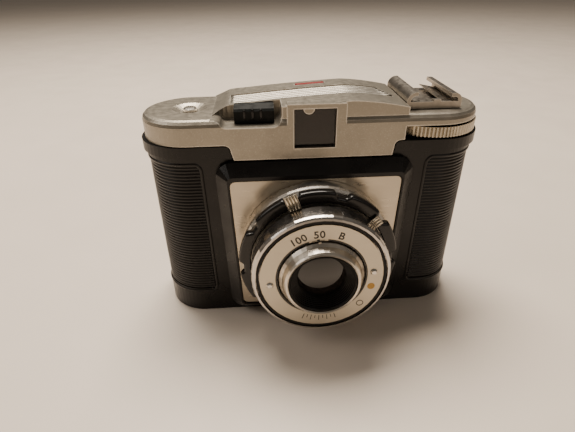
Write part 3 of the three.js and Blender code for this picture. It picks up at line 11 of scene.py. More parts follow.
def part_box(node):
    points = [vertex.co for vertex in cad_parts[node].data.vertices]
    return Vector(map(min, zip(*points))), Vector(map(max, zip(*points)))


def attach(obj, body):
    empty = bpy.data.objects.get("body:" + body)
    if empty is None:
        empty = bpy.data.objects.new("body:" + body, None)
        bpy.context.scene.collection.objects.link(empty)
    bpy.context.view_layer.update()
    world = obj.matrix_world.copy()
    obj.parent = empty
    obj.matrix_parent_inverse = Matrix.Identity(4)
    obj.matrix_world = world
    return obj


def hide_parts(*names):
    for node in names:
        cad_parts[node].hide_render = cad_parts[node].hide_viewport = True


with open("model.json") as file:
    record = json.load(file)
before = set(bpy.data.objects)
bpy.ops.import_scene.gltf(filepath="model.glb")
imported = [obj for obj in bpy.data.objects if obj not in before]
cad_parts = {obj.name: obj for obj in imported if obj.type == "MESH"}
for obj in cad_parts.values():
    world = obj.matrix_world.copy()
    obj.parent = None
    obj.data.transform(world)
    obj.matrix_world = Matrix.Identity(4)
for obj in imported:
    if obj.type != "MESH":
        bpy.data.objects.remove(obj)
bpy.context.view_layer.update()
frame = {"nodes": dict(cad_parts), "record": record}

bl_info = {
    "name": "Roll-film camera finish",
    "version": (1, 0, 0),
    "blender": (4, 5, 0),
    "location": "View3D > Sidebar > Camera",
    "description": "Finishes and fine pieces for a roll-film viewfinder camera",
    "category": "Object",
}

MM = 0.001
NODES = frame["nodes"]


# ---- Places taken from the frame ------------------------------------------

def middle(node):
    low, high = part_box(node)
    return (low + high) / 2


LENS_X = middle("lens_barrel").x
LENS_Z = middle("lens_barrel").z
PIVOT_SET_IN = 1.2 * MM
END_CENTRE = middle("supply_pivot_lower").x - PIVOT_SET_IN
HALF_DEPTH = 18 * MM
DIAL_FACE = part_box("dial_plate")[0].y
FLUTES_FRONT = -4.7 * MM
FLUTES_BACK = 7.7 * MM
COVER_SURFACE = BVHTree.FromPolygons(
    [vertex.co for vertex in NODES["top_cover"].data.vertices],
    [face.vertices for face in NODES["top_cover"].data.polygons],
)


# ---- Sizes and colours that a user would change ---------------------------

def colour_property(name, description, default):
    return FloatVectorProperty(
        name=name, description=description, default=default, size=3, min=0, max=1, subtype="COLOR",
    )


def length_property(name, description, default):
    return FloatProperty(name=name, description=description, default=default, min=0, unit="LENGTH")


class CameraSizes(bpy.types.PropertyGroup):
    rib_pitch: length_property("Rib pitch", "Height of one grip rib and its groove", 1.44 * MM)
    rib_depth: length_property("Rib depth", "How far a grip rib stands out", 0.42 * MM)
    border_width: length_property("Border width", "Width of the smooth border round the ribs", 1.7 * MM)
    border_height: length_property("Border height", "How far the border stands out of the body", 0.35 * MM)
    flute_count: IntProperty(name="Flutes", description="Ridges on top of the cover", default=5, min=1)
    flute_depth: length_property("Flute depth", "How far a ridge stands out", 0.48 * MM)
    numeral_height: length_property("Numeral height", "Height of the dial's numbers", 3.1 * MM)


class CameraColours(bpy.types.PropertyGroup):
    plastic: colour_property("Body plastic", "Black plastic of the body and door", (0.0085, 0.0072, 0.0063))
    paint: colour_property("Cover paint", "Warm silver paint of the top cover", (0.33, 0.295, 0.24))
    # Used for real wear and speckles, and also for the painted highlights along hard edges and on the flute
    # crests.
    worn_and_painted_light: colour_property("Worn edges", "Bright metal where the paint is rubbed", (0.86, 0.80, 0.70))
    satin: colour_property("Face plate", "Satin plate round the lens", (0.54, 0.475, 0.38))
    dial: colour_property("Dial plate", "Satin plate with the numbers", (0.55, 0.49, 0.39))
    chrome: colour_property("Chrome", "Bright plating of the barrel and rings", (0.70, 0.66, 0.60))
    nickel: colour_property("Nickel", "Warm plating of the levers and wheel", (0.66, 0.59, 0.47))
    steel: colour_property("Steel", "Plain pressed steel", (0.36, 0.325, 0.28))
    ink: colour_property("Dial ink", "Numbers and marks on the dial", (0.02, 0.018, 0.016))
    floor: colour_property("Floor", "Pale surface under the camera", (0.76, 0.66, 0.56))


def sizes():
    return bpy.context.scene.camera_sizes


def colours():
    return bpy.context.scene.camera_colours


# ---- Finishes -------------------------------------------------------------

FINISHES = {}


class Finish:
    """A material's node tree, built a step at a time."""

    def __init__(self, name):
        self.material = bpy.data.materials.new(name)
        FINISHES[name] = self.material
        self.material.use_nodes = True
        self.nodes = self.material.node_tree.nodes
        self.links = self.material.node_tree.links
        self.shader = self.nodes["Principled BSDF"]
        self.place = self.nodes.new("ShaderNodeTexCoord").outputs["Object"]

    def set(self, **values):
        for socket, value in values.items():
            self.shader.inputs[socket.replace("_", " ")].default_value = value
        return self

    def noise(self, scale, detail=3.0, stretch=(1, 1, 1)):
        mapping = self.nodes.new("ShaderNodeMapping")
        mapping.inputs["Scale"].default_value = stretch
        self.links.new(self.place, mapping.inputs["Vector"])
        noise = self.nodes.new("ShaderNodeTexNoise")
        noise.inputs["Scale"].default_value = scale
        noise.inputs["Detail"].default_value = detail
        self.links.new(mapping.outputs["Vector"], noise.inputs["Vector"])
        return noise.outputs["Fac"]

    def ranged(self, value, low, high, from_low=0.3, from_high=0.7):
        node = self.nodes.new("ShaderNodeMapRange")
        node.inputs["From Min"].default_value = from_low
        node.inputs["From Max"].default_value = from_high
        node.inputs["To Min"].default_value = low
        node.inputs["To Max"].default_value = high
        self.links.new(value, node.inputs["Value"])
        return node.outputs["Result"]

    def mix(self, factor, first, second):
        node = self.nodes.new("ShaderNodeMix")
        node.data_type = "RGBA"
        self.links.new(factor, node.inputs["Factor"])
        for socket, colour in ((node.inputs[6], first), (node.inputs[7], second)):
            if isinstance(colour, bpy.types.NodeSocket):
                self.links.new(colour, socket)
            else:
                socket.default_value = (*colour, 1)
        return node.outputs[2]

    def colour(self, base, spread, scale, detail=4.0, stretch=(1, 1, 1)):
        """The base colour, varied a little by a soft noise."""
        dark = tuple(c * (1 - spread) for c in base)
        light = tuple(min(1, c * (1 + spread)) for c in base)
        tone = self.mix(self.ranged(self.noise(scale, detail, stretch), 0, 1), dark, light)
        self.links.new(tone, self.shader.inputs["Base Color"])
        return tone

    def roughness(self, low, high, scale, detail=4.0, stretch=(1, 1, 1)):
        value = self.ranged(self.noise(scale, detail, stretch), low, high)
        self.links.new(value, self.shader.inputs["Roughness"])
        return self

    def edges(self, width, most=0.9):
        """How rubbed the surface is, and where a painted highlight falls: nothing on flat areas, and the
        most along hard edges.
        """
        rounded = self.nodes.new("ShaderNodeBevel")
        rounded.samples = 6
        rounded.inputs["Radius"].default_value = width
        turned = self.nodes.new("ShaderNodeVectorMath")
        turned.operation = "DOT_PRODUCT"
        self.links.new(rounded.outputs["Normal"], turned.inputs[0])
        self.links.new(self.nodes.new("ShaderNodeNewGeometry").outputs["Normal"], turned.inputs[1])
        return self.ranged(turned.outputs["Value"], most, 0, 0.9, 0.995)

    def grooves(self, start, pitch):
        """Most in grooves that run across the camera, a pitch apart."""
        parts = self.nodes.new("ShaderNodeSeparateXYZ")
        self.links.new(self.place, parts.inputs["Vector"])
        shifted = self.nodes.new("ShaderNodeMath")
        shifted.operation = "SUBTRACT"
        shifted.inputs[1].default_value = start
        self.links.new(parts.outputs["Y"], shifted.inputs[0])
        folded = self.nodes.new("ShaderNodeMath")
        folded.operation = "PINGPONG"
        folded.inputs[1].default_value = pitch / 2
        self.links.new(shifted.outputs["Value"], folded.inputs[0])
        return self.ranged(folded.outputs["Value"], 1, 0, pitch * 0.14, pitch * 0.3)

    def bump(self, height, distance, strength=1.0):
        node = self.nodes.new("ShaderNodeBump")
        node.inputs["Distance"].default_value = distance
        node.inputs["Strength"].default_value = strength
        self.links.new(height, node.inputs["Height"])
        self.links.new(node.outputs["Normal"], self.shader.inputs["Normal"])
        return self

    def rings(self, count_per_metre):
        """Fine turning lines about the lens axis."""
        shift = self.nodes.new("ShaderNodeMapping")
        shift.inputs["Location"].default_value = (-LENS_X, 0, -LENS_Z)
        self.links.new(self.place, shift.inputs["Vector"])
        wave = self.nodes.new("ShaderNodeTexWave")
        wave.wave_type = "RINGS"
        wave.rings_direction = "Y"
        wave.inputs["Scale"].default_value = count_per_metre
        wave.inputs["Distortion"].default_value = 0.6
        self.links.new(shift.outputs["Vector"], wave.inputs["Vector"])
        return wave.outputs["Fac"]


def body_plastic():
    """Polished black moulding with dust, a fine bumpy grain and a brownish cast."""
    f = Finish("body_plastic")
    f.set(Specular_IOR_Level=0.28, Coat_Weight=0.05, Coat_Roughness=0.15)
    tone = f.colour(colours().plastic, 0.3, 60)
    dust = f.ranged(f.noise(900, 5), 0, 0.16, 0.62, 0.8)
    dusty = f.mix(dust, tone, (0.08, 0.068, 0.058))
    f.links.new(dusty, f.shader.inputs["Base Color"])
    f.roughness(0.22, 0.42, 120)
    return f.bump(f.noise(1500, 4), 0.00004, 0.6).material


def ring_plastic():
    f = Finish("ring_plastic")
    f.set(Specular_IOR_Level=0.35, Coat_Weight=0.08, Coat_Roughness=0.12)
    f.colour((0.008, 0.0068, 0.006), 0.3, 90)
    f.roughness(0.14, 0.3, 200)
    return f.bump(f.noise(900, 3), 0.00003, 0.5).material


def key_plastic():
    f = Finish("key_plastic")
    f.set(Specular_IOR_Level=0.15)
    f.colour((0.005, 0.006, 0.0055), 0.35, 300)
    f.roughness(0.28, 0.5, 400)
    return f.bump(f.noise(1600, 4), 0.00004, 0.7).material


def inner_black():
    f = Finish("inner_black")
    f.colour((0.012, 0.012, 0.012), 0.3, 200)
    f.roughness(0.65, 0.9, 300)
    return f.bump(f.noise(2500, 4), 0.00005, 0.8).material


def black_paint():
    f = Finish("black_paint")
    f.set(Specular_IOR_Level=0.2)
    f.colour((0.007, 0.006, 0.0055), 0.3, 200)
    f.roughness(0.3, 0.48, 300)
    return f.bump(f.noise(2000, 3), 0.00002, 0.5).material


def cover_paint(name, fluted=False):
    """Warm silver paint, speckled, and bright along its edges, partly from real wear and partly from a
    painted highlight; on the flutes, a painted highlight on the crests and painted shade in the grooves.
    """
    f = Finish(name)
    f.set(Metallic=0.8, Specular_IOR_Level=0.5, Coat_Weight=0.1, Coat_Roughness=0.3)
    tone = f.colour(colours().paint, 0.07, 35)
    speck = f.mix(f.ranged(f.noise(2600, 2), 0, 0.2, 0.55, 0.75), tone, colours().worn_and_painted_light)
    if fluted:
        pitch = (FLUTES_BACK - FLUTES_FRONT) / sizes().flute_count
        # Flutes: a painted highlight on the crests, and painted shade, a dark brown, in the grooves.
        crest_painted_highlight = tuple(0.55 * part for part in colours().worn_and_painted_light)
        worn_and_painted_light = f.mix(f.grooves(FLUTES_FRONT, pitch), crest_painted_highlight, (0.09, 0.075, 0.055))
    else:
        # Bright metal along hard edges: partly real wear, partly a painted highlight.
        worn_and_painted_light = f.mix(f.edges(0.7 * MM), speck, colours().worn_and_painted_light)
    f.links.new(worn_and_painted_light, f.shader.inputs["Base Color"])
    f.roughness(0.3, 0.42, 500)
    return f.bump(f.noise(2200, 3), 0.00003, 0.5).material


def satin_metal(name, base, low, high):
    """Brushed plate with fine lines across it."""
    f = Finish(name)
    f.set(Metallic=0.85)
    f.colour(base, 0.06, 40)
    f.roughness(low, high, 700, 4, (0.15, 1, 1))
    return f.bump(f.noise(2600, 3, (0.1, 1, 1)), 0.00001, 0.5).material


def turned_metal(name, base, low, high, lines):
    """Plated metal with faint turning lines and rubbed patches."""
    f = Finish(name)
    f.set(Metallic=1.0)
    f.colour(base, 0.05, 90, 2)
    f.roughness(low, high, 120, 2)
    return f.bump(f.rings(lines), 0.00001, 0.25).material


def pressed_metal(name, base, low, high, dirt=0.1):
    """Plated or bare pressed metal, bright along its edges, partly from real wear and partly from a painted
    highlight.
    """
    f = Finish(name)
    f.set(Metallic=1.0)
    tone = f.colour(base, dirt, 240, 3)
    # Bright edges: partly real wear, partly a painted highlight.
    rubbed_and_highlit = f.mix(f.edges(0.3 * MM, 0.7), tone, colours().worn_and_painted_light)
    f.links.new(rubbed_and_highlit, f.shader.inputs["Base Color"])
    f.roughness(low, high, 500, 3)
    return f.bump(f.noise(1800, 3), 0.00001, 0.4).material


def clear_glass(name, tint, roughness, transmission):
    f = Finish(name)
    f.set(Transmission_Weight=transmission, IOR=1.5, Specular_IOR_Level=0.3)
    f.colour(tint, 0.08, 60)
    return f.roughness(roughness, roughness + 0.03, 80).material


def coated_glass():
    """The front glass: opaque and near black, painted shade for the dark inside of the lens behind it."""
    f = Finish("lens_glass")
    f.set(Specular_IOR_Level=0.55, Coat_Weight=0.3, Coat_Roughness=0.02)
    # Near-black colour: painted shade for the dark inside of the lens, which the opaque glass hides.
    f.colour((0.011, 0.0085, 0.0075), 0.3, 50)
    return f.roughness(0.03, 0.07, 60).material


def flat_ink(name, colour):
    f = Finish(name)
    f.colour(colour, 0.15, 600)
    return f.roughness(0.35, 0.5, 400).material


def floor_surface():
    f = Finish("floor_surface")
    f.colour(colours().floor, 0.025, 9)
    f.roughness(0.42, 0.55, 30)
    return f.bump(f.noise(350, 5), 0.00006, 0.4).material


def make_finishes():
    c = colours()
    for make in (body_plastic, ring_plastic, key_plastic, inner_black, black_paint, coated_glass):
        make()
    cover_paint("cover_paint")
    cover_paint("flute_paint", fluted=True)
    satin_metal("satin_plate", c.satin, 0.26, 0.36)
    satin_metal("dial_satin", c.dial, 0.3, 0.42)
    turned_metal("chrome", c.chrome, 0.24, 0.32, 900)
    turned_metal("barrel_chrome", (0.58, 0.54, 0.5), 0.17, 0.24, 700)
    turned_metal("rim_chrome", (0.66, 0.6, 0.52), 0.26, 0.34, 900)
    pressed_metal("lever_nickel", tuple(0.3 * v for v in c.nickel), 0.24, 0.36)
    pressed_metal("rib_nickel", c.nickel, 0.16, 0.26)
    pressed_metal("wheel_nickel", tuple(0.6 * v for v in c.nickel), 0.18, 0.3)
    pressed_metal("steel", (0.5, 0.48, 0.45), 0.28, 0.42)
    pressed_metal("shoe_steel", c.steel, 0.26, 0.38)
    pressed_metal("brass", (0.6, 0.44, 0.2), 0.25, 0.4)
    clear_glass("window_red", (0.5, 0.02, 0.01), 0.08, 0.5)
    clear_glass("finder_glass", (0.06, 0.048, 0.04), 0.02, 0.7)
    flat_ink("badge_red", (0.24, 0.013, 0.013))
    flat_ink("dial_ink", c.ink)
    flat_ink("mark_orange", (0.52, 0.27, 0.03))
    flat_ink("mark_copper", (0.45, 0.24, 0.1))


# ---- Mesh helpers ---------------------------------------------------------

def new_piece(name, mesh, body, finish):
    """Links a mesh as a piece, with its finish, riding on a CAD body."""
    piece = bpy.data.objects.new(name, mesh)
    bpy.context.scene.collection.objects.link(piece)
    mesh.materials.append(FINISHES[finish])
    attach(piece, body)
    return piece


def mesh_from(name, points, faces, smooth=True):
    mesh = bpy.data.meshes.new(name)
    mesh.from_pydata(points, [], faces)
    mesh.validate()
    work = bmesh.new()
    work.from_mesh(mesh)
    bmesh.ops.recalc_face_normals(work, faces=work.faces)
    work.to_mesh(mesh)
    work.free()
    for face in mesh.polygons:
        face.use_smooth = smooth
    return mesh


def sweep_faces(sections, wide, closed=True, start=0):
    """Faces between each closed section of points and the next, and from the last to the first."""
    faces = []
    for near in range(sections if closed else sections - 1):
        a = start + near * wide
        b = start + (near + 1) % sections * wide
        for c in range(wide):
            d = (c + 1) % wide
            faces.append((a + c, a + d, b + d, b + c))
    return faces


def round_lens(radius, degrees, y):
    """A point round the lens axis, with its radius in millimetres."""
    angle = math.radians(degrees)
    return (LENS_X + radius * MM * math.cos(angle), y, LENS_Z + radius * MM * math.sin(angle))


def join_points(mesh, distance):
    """Joins points that lie on each other, such as those on the axis of a turning."""
    work = bmesh.new()
    work.from_mesh(mesh)
    bmesh.ops.remove_doubles(work, verts=work.verts, dist=distance)
    bmesh.ops.recalc_face_normals(work, faces=work.faces)
    work.to_mesh(mesh)
    work.free()
    return mesh


def soften_edges(piece, width):
    """Rounds the hard edges a little."""
    bevel = piece.modifiers.new("edge_rounding", "BEVEL")
    bevel.width = width
    bevel.segments = 2
    bevel.limit_method = "ANGLE"
    bevel.angle_limit = math.radians(32)
    bevel.use_clamp_overlap = True


def smooth_by_angle(piece, degrees=35):
    """Shades a piece smooth, but for its edges sharper than an angle."""
    piece.data.shade_smooth()
    work = bmesh.new()
    work.from_mesh(piece.data)
    limit = math.radians(degrees)
    sharp = [len(edge.link_faces) == 2 and edge.calc_face_angle() > limit for edge in work.edges]
    work.free()
    for edge, is_sharp in zip(piece.data.edges, sharp):
        edge.use_edge_sharp = is_sharp


def grid_shell(name, rows, back_rows):
    """A closed shell between a front grid of points and a back grid of the same shape."""
    high, wide = len(rows), len(rows[0])
    points = [p for row in rows for p in row] + [p for row in back_rows for p in row]
    second = high * wide
    faces = []
    for r in range(high - 1):
        for c in range(wide - 1):
            a, b = r * wide + c, r * wide + c + 1
            d, e = a + wide, b + wide
            faces.append((a, b, e, d))
            faces.append((second + a, second + d, second + e, second + b))
    border = [c for c in range(wide)]
    border += [r * wide + wide - 1 for r in range(1, high)]
    border += [(high - 1) * wide + c for c in range(wide - 2, -1, -1)]
    border += [r * wide for r in range(high - 2, 0, -1)]
    for i, a in enumerate(border):
        b = border[(i + 1) % len(border)]
        faces.append((a, second + a, second + b, b))
    return mesh_from(name, points, faces)


def lathe(name, profile, steps=128):
    """A closed turning about the lens axis, from (radius, y) points in millimetres."""
    points = [
        round_lens(radius, 360 * step / steps, y * MM)
        for step in range(steps) for radius, y in profile
    ]
    return join_points(mesh_from(name, points, sweep_faces(steps, len(profile))), 1e-7)


# ---- The grip panels ------------------------------------------------------

GRIP_START = 43.2 * MM
GRIP_END_BEHIND = 5.6 * MM
RIB_LOW, RIB_HIGH = 12.6 * MM, 73.9 * MM
RIB_FLOOR = -0.82 * MM
BORDER_LOW, BORDER_HIGH = 11.4 * MM, 75 * MM
BORDER_CORNER = 3.2 * MM
BORDER_LEAN = 1.2 * MM


class GripPanel:
    """One ribbed panel, as places on the body's rounded end."""

    def __init__(self, side):
        self.side = side
        self.straight = -END_CENTRE - GRIP_START
        turn = math.pi / 2 + math.asin(GRIP_END_BEHIND / HALF_DEPTH)
        self.length = self.straight + turn * HALF_DEPTH

    def place(self, along, height, out):
        """A point: a distance along the panel, a height, and a distance out of the body."""
        if along < self.straight:
            x = GRIP_START + along
            y = -HALF_DEPTH - out
        else:
            angle = (along - self.straight) / HALF_DEPTH - math.pi / 2
            x = -END_CENTRE + (HALF_DEPTH + out) * math.cos(angle)
            y = (HALF_DEPTH + out) * math.sin(angle)
        return (self.side * x, y, height)


def samples(low, high, count):
    return [low + (high - low) * i / (count - 1) for i in range(count)]


def grip_ribs(side):
    panel = GripPanel(side)
    s = sizes()
    ribs = round((RIB_HIGH - RIB_LOW) / s.rib_pitch)
    heights = samples(RIB_LOW, RIB_HIGH, ribs * 8 + 1)
    along = samples(1.9 * MM, panel.length, 44)

    def wave(height):
        phase = (height - RIB_LOW) / (RIB_HIGH - RIB_LOW) * ribs
        return s.rib_depth * abs(math.sin(math.pi * phase)) ** 0.6

    groove = RIB_FLOOR + 0.15 * MM
    front = [[panel.place(a, h, groove + wave(h)) for a in along] for h in heights]
    back = [[panel.place(a, h, RIB_FLOOR) for a in along] for h in heights]
    return grid_shell("grip_ribs", front, back)


def border_path(inner, outer):
    """The border's middle line: along the top, down the inner side and back along the bottom."""
    low, high, corner = BORDER_LOW, BORDER_HIGH, BORDER_CORNER

    def arc(start, height):
        angles = [start + math.pi / 2 * step / 10 for step in range(11)]
        centre = inner + corner
        return [(centre + corner * math.cos(a), height + corner * math.sin(a)) for a in angles]

    top = [(a, high) for a in samples(outer, inner + corner, 30)[:-1]]
    bottom = [(a, low) for a in samples(inner + corner, outer, 30)[1:]]
    side = [(inner, h) for h in samples(high - corner, low + corner, 12)[1:-1]]
    return top + arc(math.pi / 2, high - corner) + side + arc(math.pi, low + corner) + bottom


def grip_border(side):
    """The smooth rounded border that runs round a grip panel."""
    panel = GripPanel(side)
    s = sizes()
    path = border_path(1.1 * MM, panel.length + 0.5 * MM)
    rows = []
    for i, (a, h) in enumerate(path):
        before = path[max(i - 1, 0)]
        after = path[min(i + 1, len(path) - 1)]
        way = Vector((after[0] - before[0], after[1] - before[1])).normalized()
        across = Vector((-way.y, way.x))
        rise = (h - BORDER_LOW) / (BORDER_HIGH - BORDER_LOW)
        tilt = BORDER_LEAN * rise * max(0, 1 - a / (8 * MM))
        row = []
        for step in range(9):
            turn = math.pi * step / 8
            shift = math.cos(turn) * s.border_width / 2
            out = math.sin(turn) * (s.border_height + 0.5 * MM) - 0.5 * MM
            row.append(panel.place(a + across.x * shift + tilt, h + across.y * shift, out))
        rows.append(row)
    wide = len(rows[0])
    last = (len(rows) - 1) * wide
    faces = sweep_faces(len(rows), wide, closed=False)
    faces += [tuple(range(wide)), tuple(last + c for c in range(wide))]
    return mesh_from("grip_border", [p for row in rows for p in row], faces)


class OBJECT_OT_camera_grips(bpy.types.Operator):
    """Ribbed grip panels with their borders, on both ends of the body"""

    bl_idname = "object.camera_grips"
    bl_label = "Grip panels"

    def execute(self, context):
        for side, word in ((-1, "left"), (1, "right")):
            new_piece(f"grip_ribs_{word}", grip_ribs(side), "camera_body", "body_plastic")
            new_piece(f"grip_border_{word}", grip_border(side), "camera_body", "body_plastic")
        return {"FINISHED"}


# ---- The top cover --------------------------------------------------------

def band_floor(x):
    """Height of the cover's sunk band at a distance from the lens axis, from the frame's own mesh."""
    middle = (FLUTES_FRONT + FLUTES_BACK) / 2
    return COVER_SURFACE.ray_cast(Vector((x, middle, 1)), Vector((0, 0, -1)))[0].z


def cover_flutes():
    """Fine ridges that run along the top of the cover."""
    s = sizes()
    front, back = FLUTES_FRONT, FLUTES_BACK
    left = -32.6 * MM
    rows, under = [], []
    across = samples(front, back, s.flute_count * 8 + 1)
    for share in samples(0, 1, 49):
        row, low_row = [], []
        for y in across:
            part = (y - front) / (back - front)
            right = 32.4 * MM - part * 4.2 * MM
            x = left + (right - left) * share
            ridge = abs(math.sin(math.pi * part * s.flute_count)) ** 0.7
            floor = band_floor(min(x, 28 * MM))
            row.append((x, y, floor + 0.12 * MM + ridge * s.flute_depth))
            low_row.append((x, y, floor + 0.02 * MM))
        rows.append(row)
        under.append(low_row)
    return grid_shell("cover_flutes", rows, under)


class OBJECT_OT_camera_flutes(bpy.types.Operator):
    """Fluted band on top of the cover"""

    bl_idname = "object.camera_flutes"
    bl_label = "Cover flutes"

    def execute(self, context):
        new_piece("cover_flutes", cover_flutes(), "camera_body", "flute_paint")
        return {"FINISHED"}


# ---- The release key ------------------------------------------------------

KEY_BARS = (-27.1, -23.9, -20.7)
KEY_BAR_BELOW_TOP = 2.9
KEY_BAR_HALF_HEIGHT = 2
KEY_BAR_HALF_WIDTH = 0.62
KEY_BAR_PROUD = 0.5


def key_bars():
    """Three short upright bars on the front of the release key."""
    low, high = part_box("release_key")
    points, faces = [], []
    rows, wide = 13, 9
    for middle_x in KEY_BARS:
        faces += sweep_faces(rows, wide, closed=False, start=len(points))
        for r in range(rows):
            turn = math.pi * r / (rows - 1)
            height = high.z - (KEY_BAR_BELOW_TOP + KEY_BAR_HALF_HEIGHT * math.cos(turn)) * MM
            reach = math.sin(turn) ** 0.4
            for c in range(wide):
                across = math.pi * c / (wide - 1)
                x = (middle_x - KEY_BAR_HALF_WIDTH * reach * math.cos(across)) * MM
                y = low.y + (0.12 - KEY_BAR_PROUD * reach * math.sin(across)) * MM
                points.append((x, y, height))
    return join_points(mesh_from("key_bars", points, faces), 1e-6)


class OBJECT_OT_camera_key(bpy.types.Operator):
    """Upright grip bars on the release key"""

    bl_idname = "object.camera_key"
    bl_label = "Release key"

    def execute(self, context):
        new_piece("key_bars", key_bars(), "release_button", "ring_plastic")
        return {"FINISHED"}


# ---- The dial -------------------------------------------------------------

INK_THICK = 0.03 * MM
NUMBERS = (("100", 19.9, 117), ("50", 19.9, 94), ("B", 20, 70))
DISTANCE_MARKS = 9
DISTANCE_START = -74
DISTANCE_PITCH = 4.6


def on_dial(radius, degrees, lift=0.0):
    """A point on the dial's face, by radius in millimetres and angle from the right."""
    angle = math.radians(degrees)
    return Vector((
        LENS_X + radius * MM * math.cos(angle), DIAL_FACE - lift, LENS_Z + radius * MM * math.sin(angle),
    ))


def dial_word(text, radius, degrees, size):
    """A number on the dial, upright on the way out from the centre."""
    curve = bpy.data.curves.new("dial_text", "FONT")
    curve.body = text
    curve.size = size
    curve.extrude = INK_THICK
    curve.align_x = "CENTER"
    curve.align_y = "CENTER"
    curve.space_character = 1.08
    curve.offset = 0.09 * MM
    holder = bpy.data.objects.new("dial_text", curve)
    bpy.context.scene.collection.objects.link(holder)
    bpy.context.view_layer.update()
    mesh = bpy.data.meshes.new_from_object(holder)
    bpy.data.objects.remove(holder)
    turn = Matrix.Rotation(math.radians(90 - degrees), 4, "Y") @ Matrix.Rotation(math.pi / 2, 4, "X")
    mesh.transform(Matrix.Translation(on_dial(radius, degrees, INK_THICK)) @ turn)
    mesh.materials.clear()
    return new_piece(f"dial_{text}", mesh, "lens_unit", "dial_ink")


def dial_band(name, inner, outer, start, end):
    """A thin raised arc on the dial."""
    steps = max(12, int(abs(end - start) / 3))
    back, front = DIAL_FACE + 0.05 * MM, DIAL_FACE - 0.05 * MM
    section = ((inner, back), (inner, front), (outer, front), (outer, back))
    points = [
        round_lens(radius, start + (end - start) * step / steps, y)
        for step in range(steps + 1) for radius, y in section
    ]
    faces = sweep_faces(steps + 1, 4, closed=False)
    faces += [(0, 1, 2, 3), tuple(4 * steps + i for i in (3, 2, 1, 0))]
    mesh = mesh_from(name, points, faces, smooth=False)
    return new_piece(name, mesh, "lens_unit", "dial_ink")


def dial_dot(name, radius, degrees, dot_radius, finish, inner=0.0):
    """A round spot or ring of paint on the dial."""
    centre = on_dial(radius, degrees)
    steps = 28

    def around(r, y, step):
        angle = 2 * math.pi * step / steps
        return (
            centre.x + r * MM * math.cos(angle), centre.y + y * MM,
            centre.z + r * MM * math.sin(angle),
        )

    if inner:
        section = ((inner, 0.04), (inner, -0.05), (dot_radius, -0.05), (dot_radius, 0.04))
        points = [around(r, y, step) for step in range(steps) for r, y in section]
        faces = sweep_faces(steps, 4)
    else:
        points = [around(dot_radius, y, step) for y in (0.04, -0.06) for step in range(steps)]
        faces = [tuple(range(steps)), tuple(range(steps, 2 * steps))]
        faces += sweep_faces(2, steps, closed=False)
    mesh = mesh_from(name, points, faces, smooth=False)
    return new_piece(name, mesh, "lens_unit", finish)


class OBJECT_OT_camera_dial(bpy.types.Operator):
    """Numbers, marks and grooves on the dial plate"""

    bl_idname = "object.camera_dial"
    bl_label = "Dial marks"

    def execute(self, context):
        font_size = sizes().numeral_height * 1.36
        for text, radius, degrees in NUMBERS:
            dial_word(text, radius, degrees, font_size)
        dial_band("speed_groove", 17.3, 17.95, 107, 444)
        dial_band("speed_line", 17.45, 17.7, 88, 104)
        dial_band("speed_arrow", 17.15, 18.1, 94, 97)
        dial_dot("weather_dot_sunny", 20.4, -15, 1.5, "mark_orange")
        dial_dot("weather_dot_cloudy", 20.9, -41, 1.5, "dial_ink", inner=1.15)
        for step in range(DISTANCE_MARKS):
            degrees = DISTANCE_START - DISTANCE_PITCH * step
            tip = 20.9 if step % 2 else 21.8
            dial_band(f"distance_mark_{step}", 19.2, tip, degrees, degrees + 0.9)
        return {"FINISHED"}


# ---- The lens unit --------------------------------------------------------

LOBES = 10
FIRST_NOTCH = 38
NOTCH_HALF_ANGLE = 6.5
NOTCH_SLOPE_ANGLE = 3.4
NOTCH_DEPTH = 1.9
RING_BORE = 27.78
CELL_STEPS = 7
CELL_DEPTH = 4.3
GLASS_RADIUS = 9.3


def notch_share(degrees):
    """Nothing on a lobe, one in the middle of a notch, and a smooth slope between."""
    pitch = 360 / LOBES
    from_notch = abs((degrees - FIRST_NOTCH + pitch / 2) % pitch - pitch / 2)
    share = max(0.0, min(1.0, (NOTCH_HALF_ANGLE - from_notch) / NOTCH_SLOPE_ANGLE))
    return share * share * (3 - 2 * share)


def lobed_ring():
    """The black ring's ten lobes, with rounded lips and a short notch between each two."""
    low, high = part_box("focus_ring")
    front, back = low.y / MM, high.y / MM
    lip = [
        (0.7, back), (0.15, back - 0.35), (0, back - 0.8),
        (0, front + 1.3), (0.25, front + 0.5), (0.8, front + 0.12), (1.5, front),
    ]
    steps = 360
    points = []
    for step in range(steps):
        degrees = step * 360 / steps
        outer = high.x / MM - NOTCH_DEPTH * notch_share(degrees)
        section = [(RING_BORE, back), *((outer - inward, y) for inward, y in lip), (RING_BORE, front + 0.1)]
        points += [round_lens(radius, degrees, y * MM) for radius, y in section]
    return mesh_from("lobed_ring", points, sweep_faces(steps, len(lip) + 2))


def stepped_cell():
    """The black cell in front of the glass, with fine steps down its cone."""
    low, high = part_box("front_cell")
    front, back = low.y / MM, high.y / MM
    outer = high.x / MM - 0.05
    profile = [(outer, back), (outer, front + 0.1), (outer - 0.35, front)]
    top, bottom = outer - 0.8, GLASS_RADIUS + 0.15
    for step in range(CELL_STEPS):
        near = top - (top - bottom) * step / CELL_STEPS
        far = top - (top - bottom) * (step + 1) / CELL_STEPS
        y = front + 0.5 + CELL_DEPTH * step / CELL_STEPS
        foot = y + CELL_DEPTH / CELL_STEPS * 0.85
        profile += [(near, y), (near, foot), (far + 0.12, foot)]
    profile += [(GLASS_RADIUS - 0.8, front + 8.7), (GLASS_RADIUS - 0.8, back)]
    return lathe("stepped_cell", profile)


def front_glass():
    """A gently domed front glass with a rounded rim."""
    low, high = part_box("front_lens")
    radius = high.x / MM - 0.02
    crown, back = low.y / MM, high.y / MM
    rim = crown + 1.35
    axis = 1e-5
    profile = [(axis, back), (radius * 0.9, back - 0.4), (radius, back - 0.9), (radius, rim)]
    for step in range(1, 13):
        share = 1 - step / 12
        profile.append((max(radius * share, axis), crown + (rim - crown) * share * share))
    return lathe("front_glass", profile, 96)


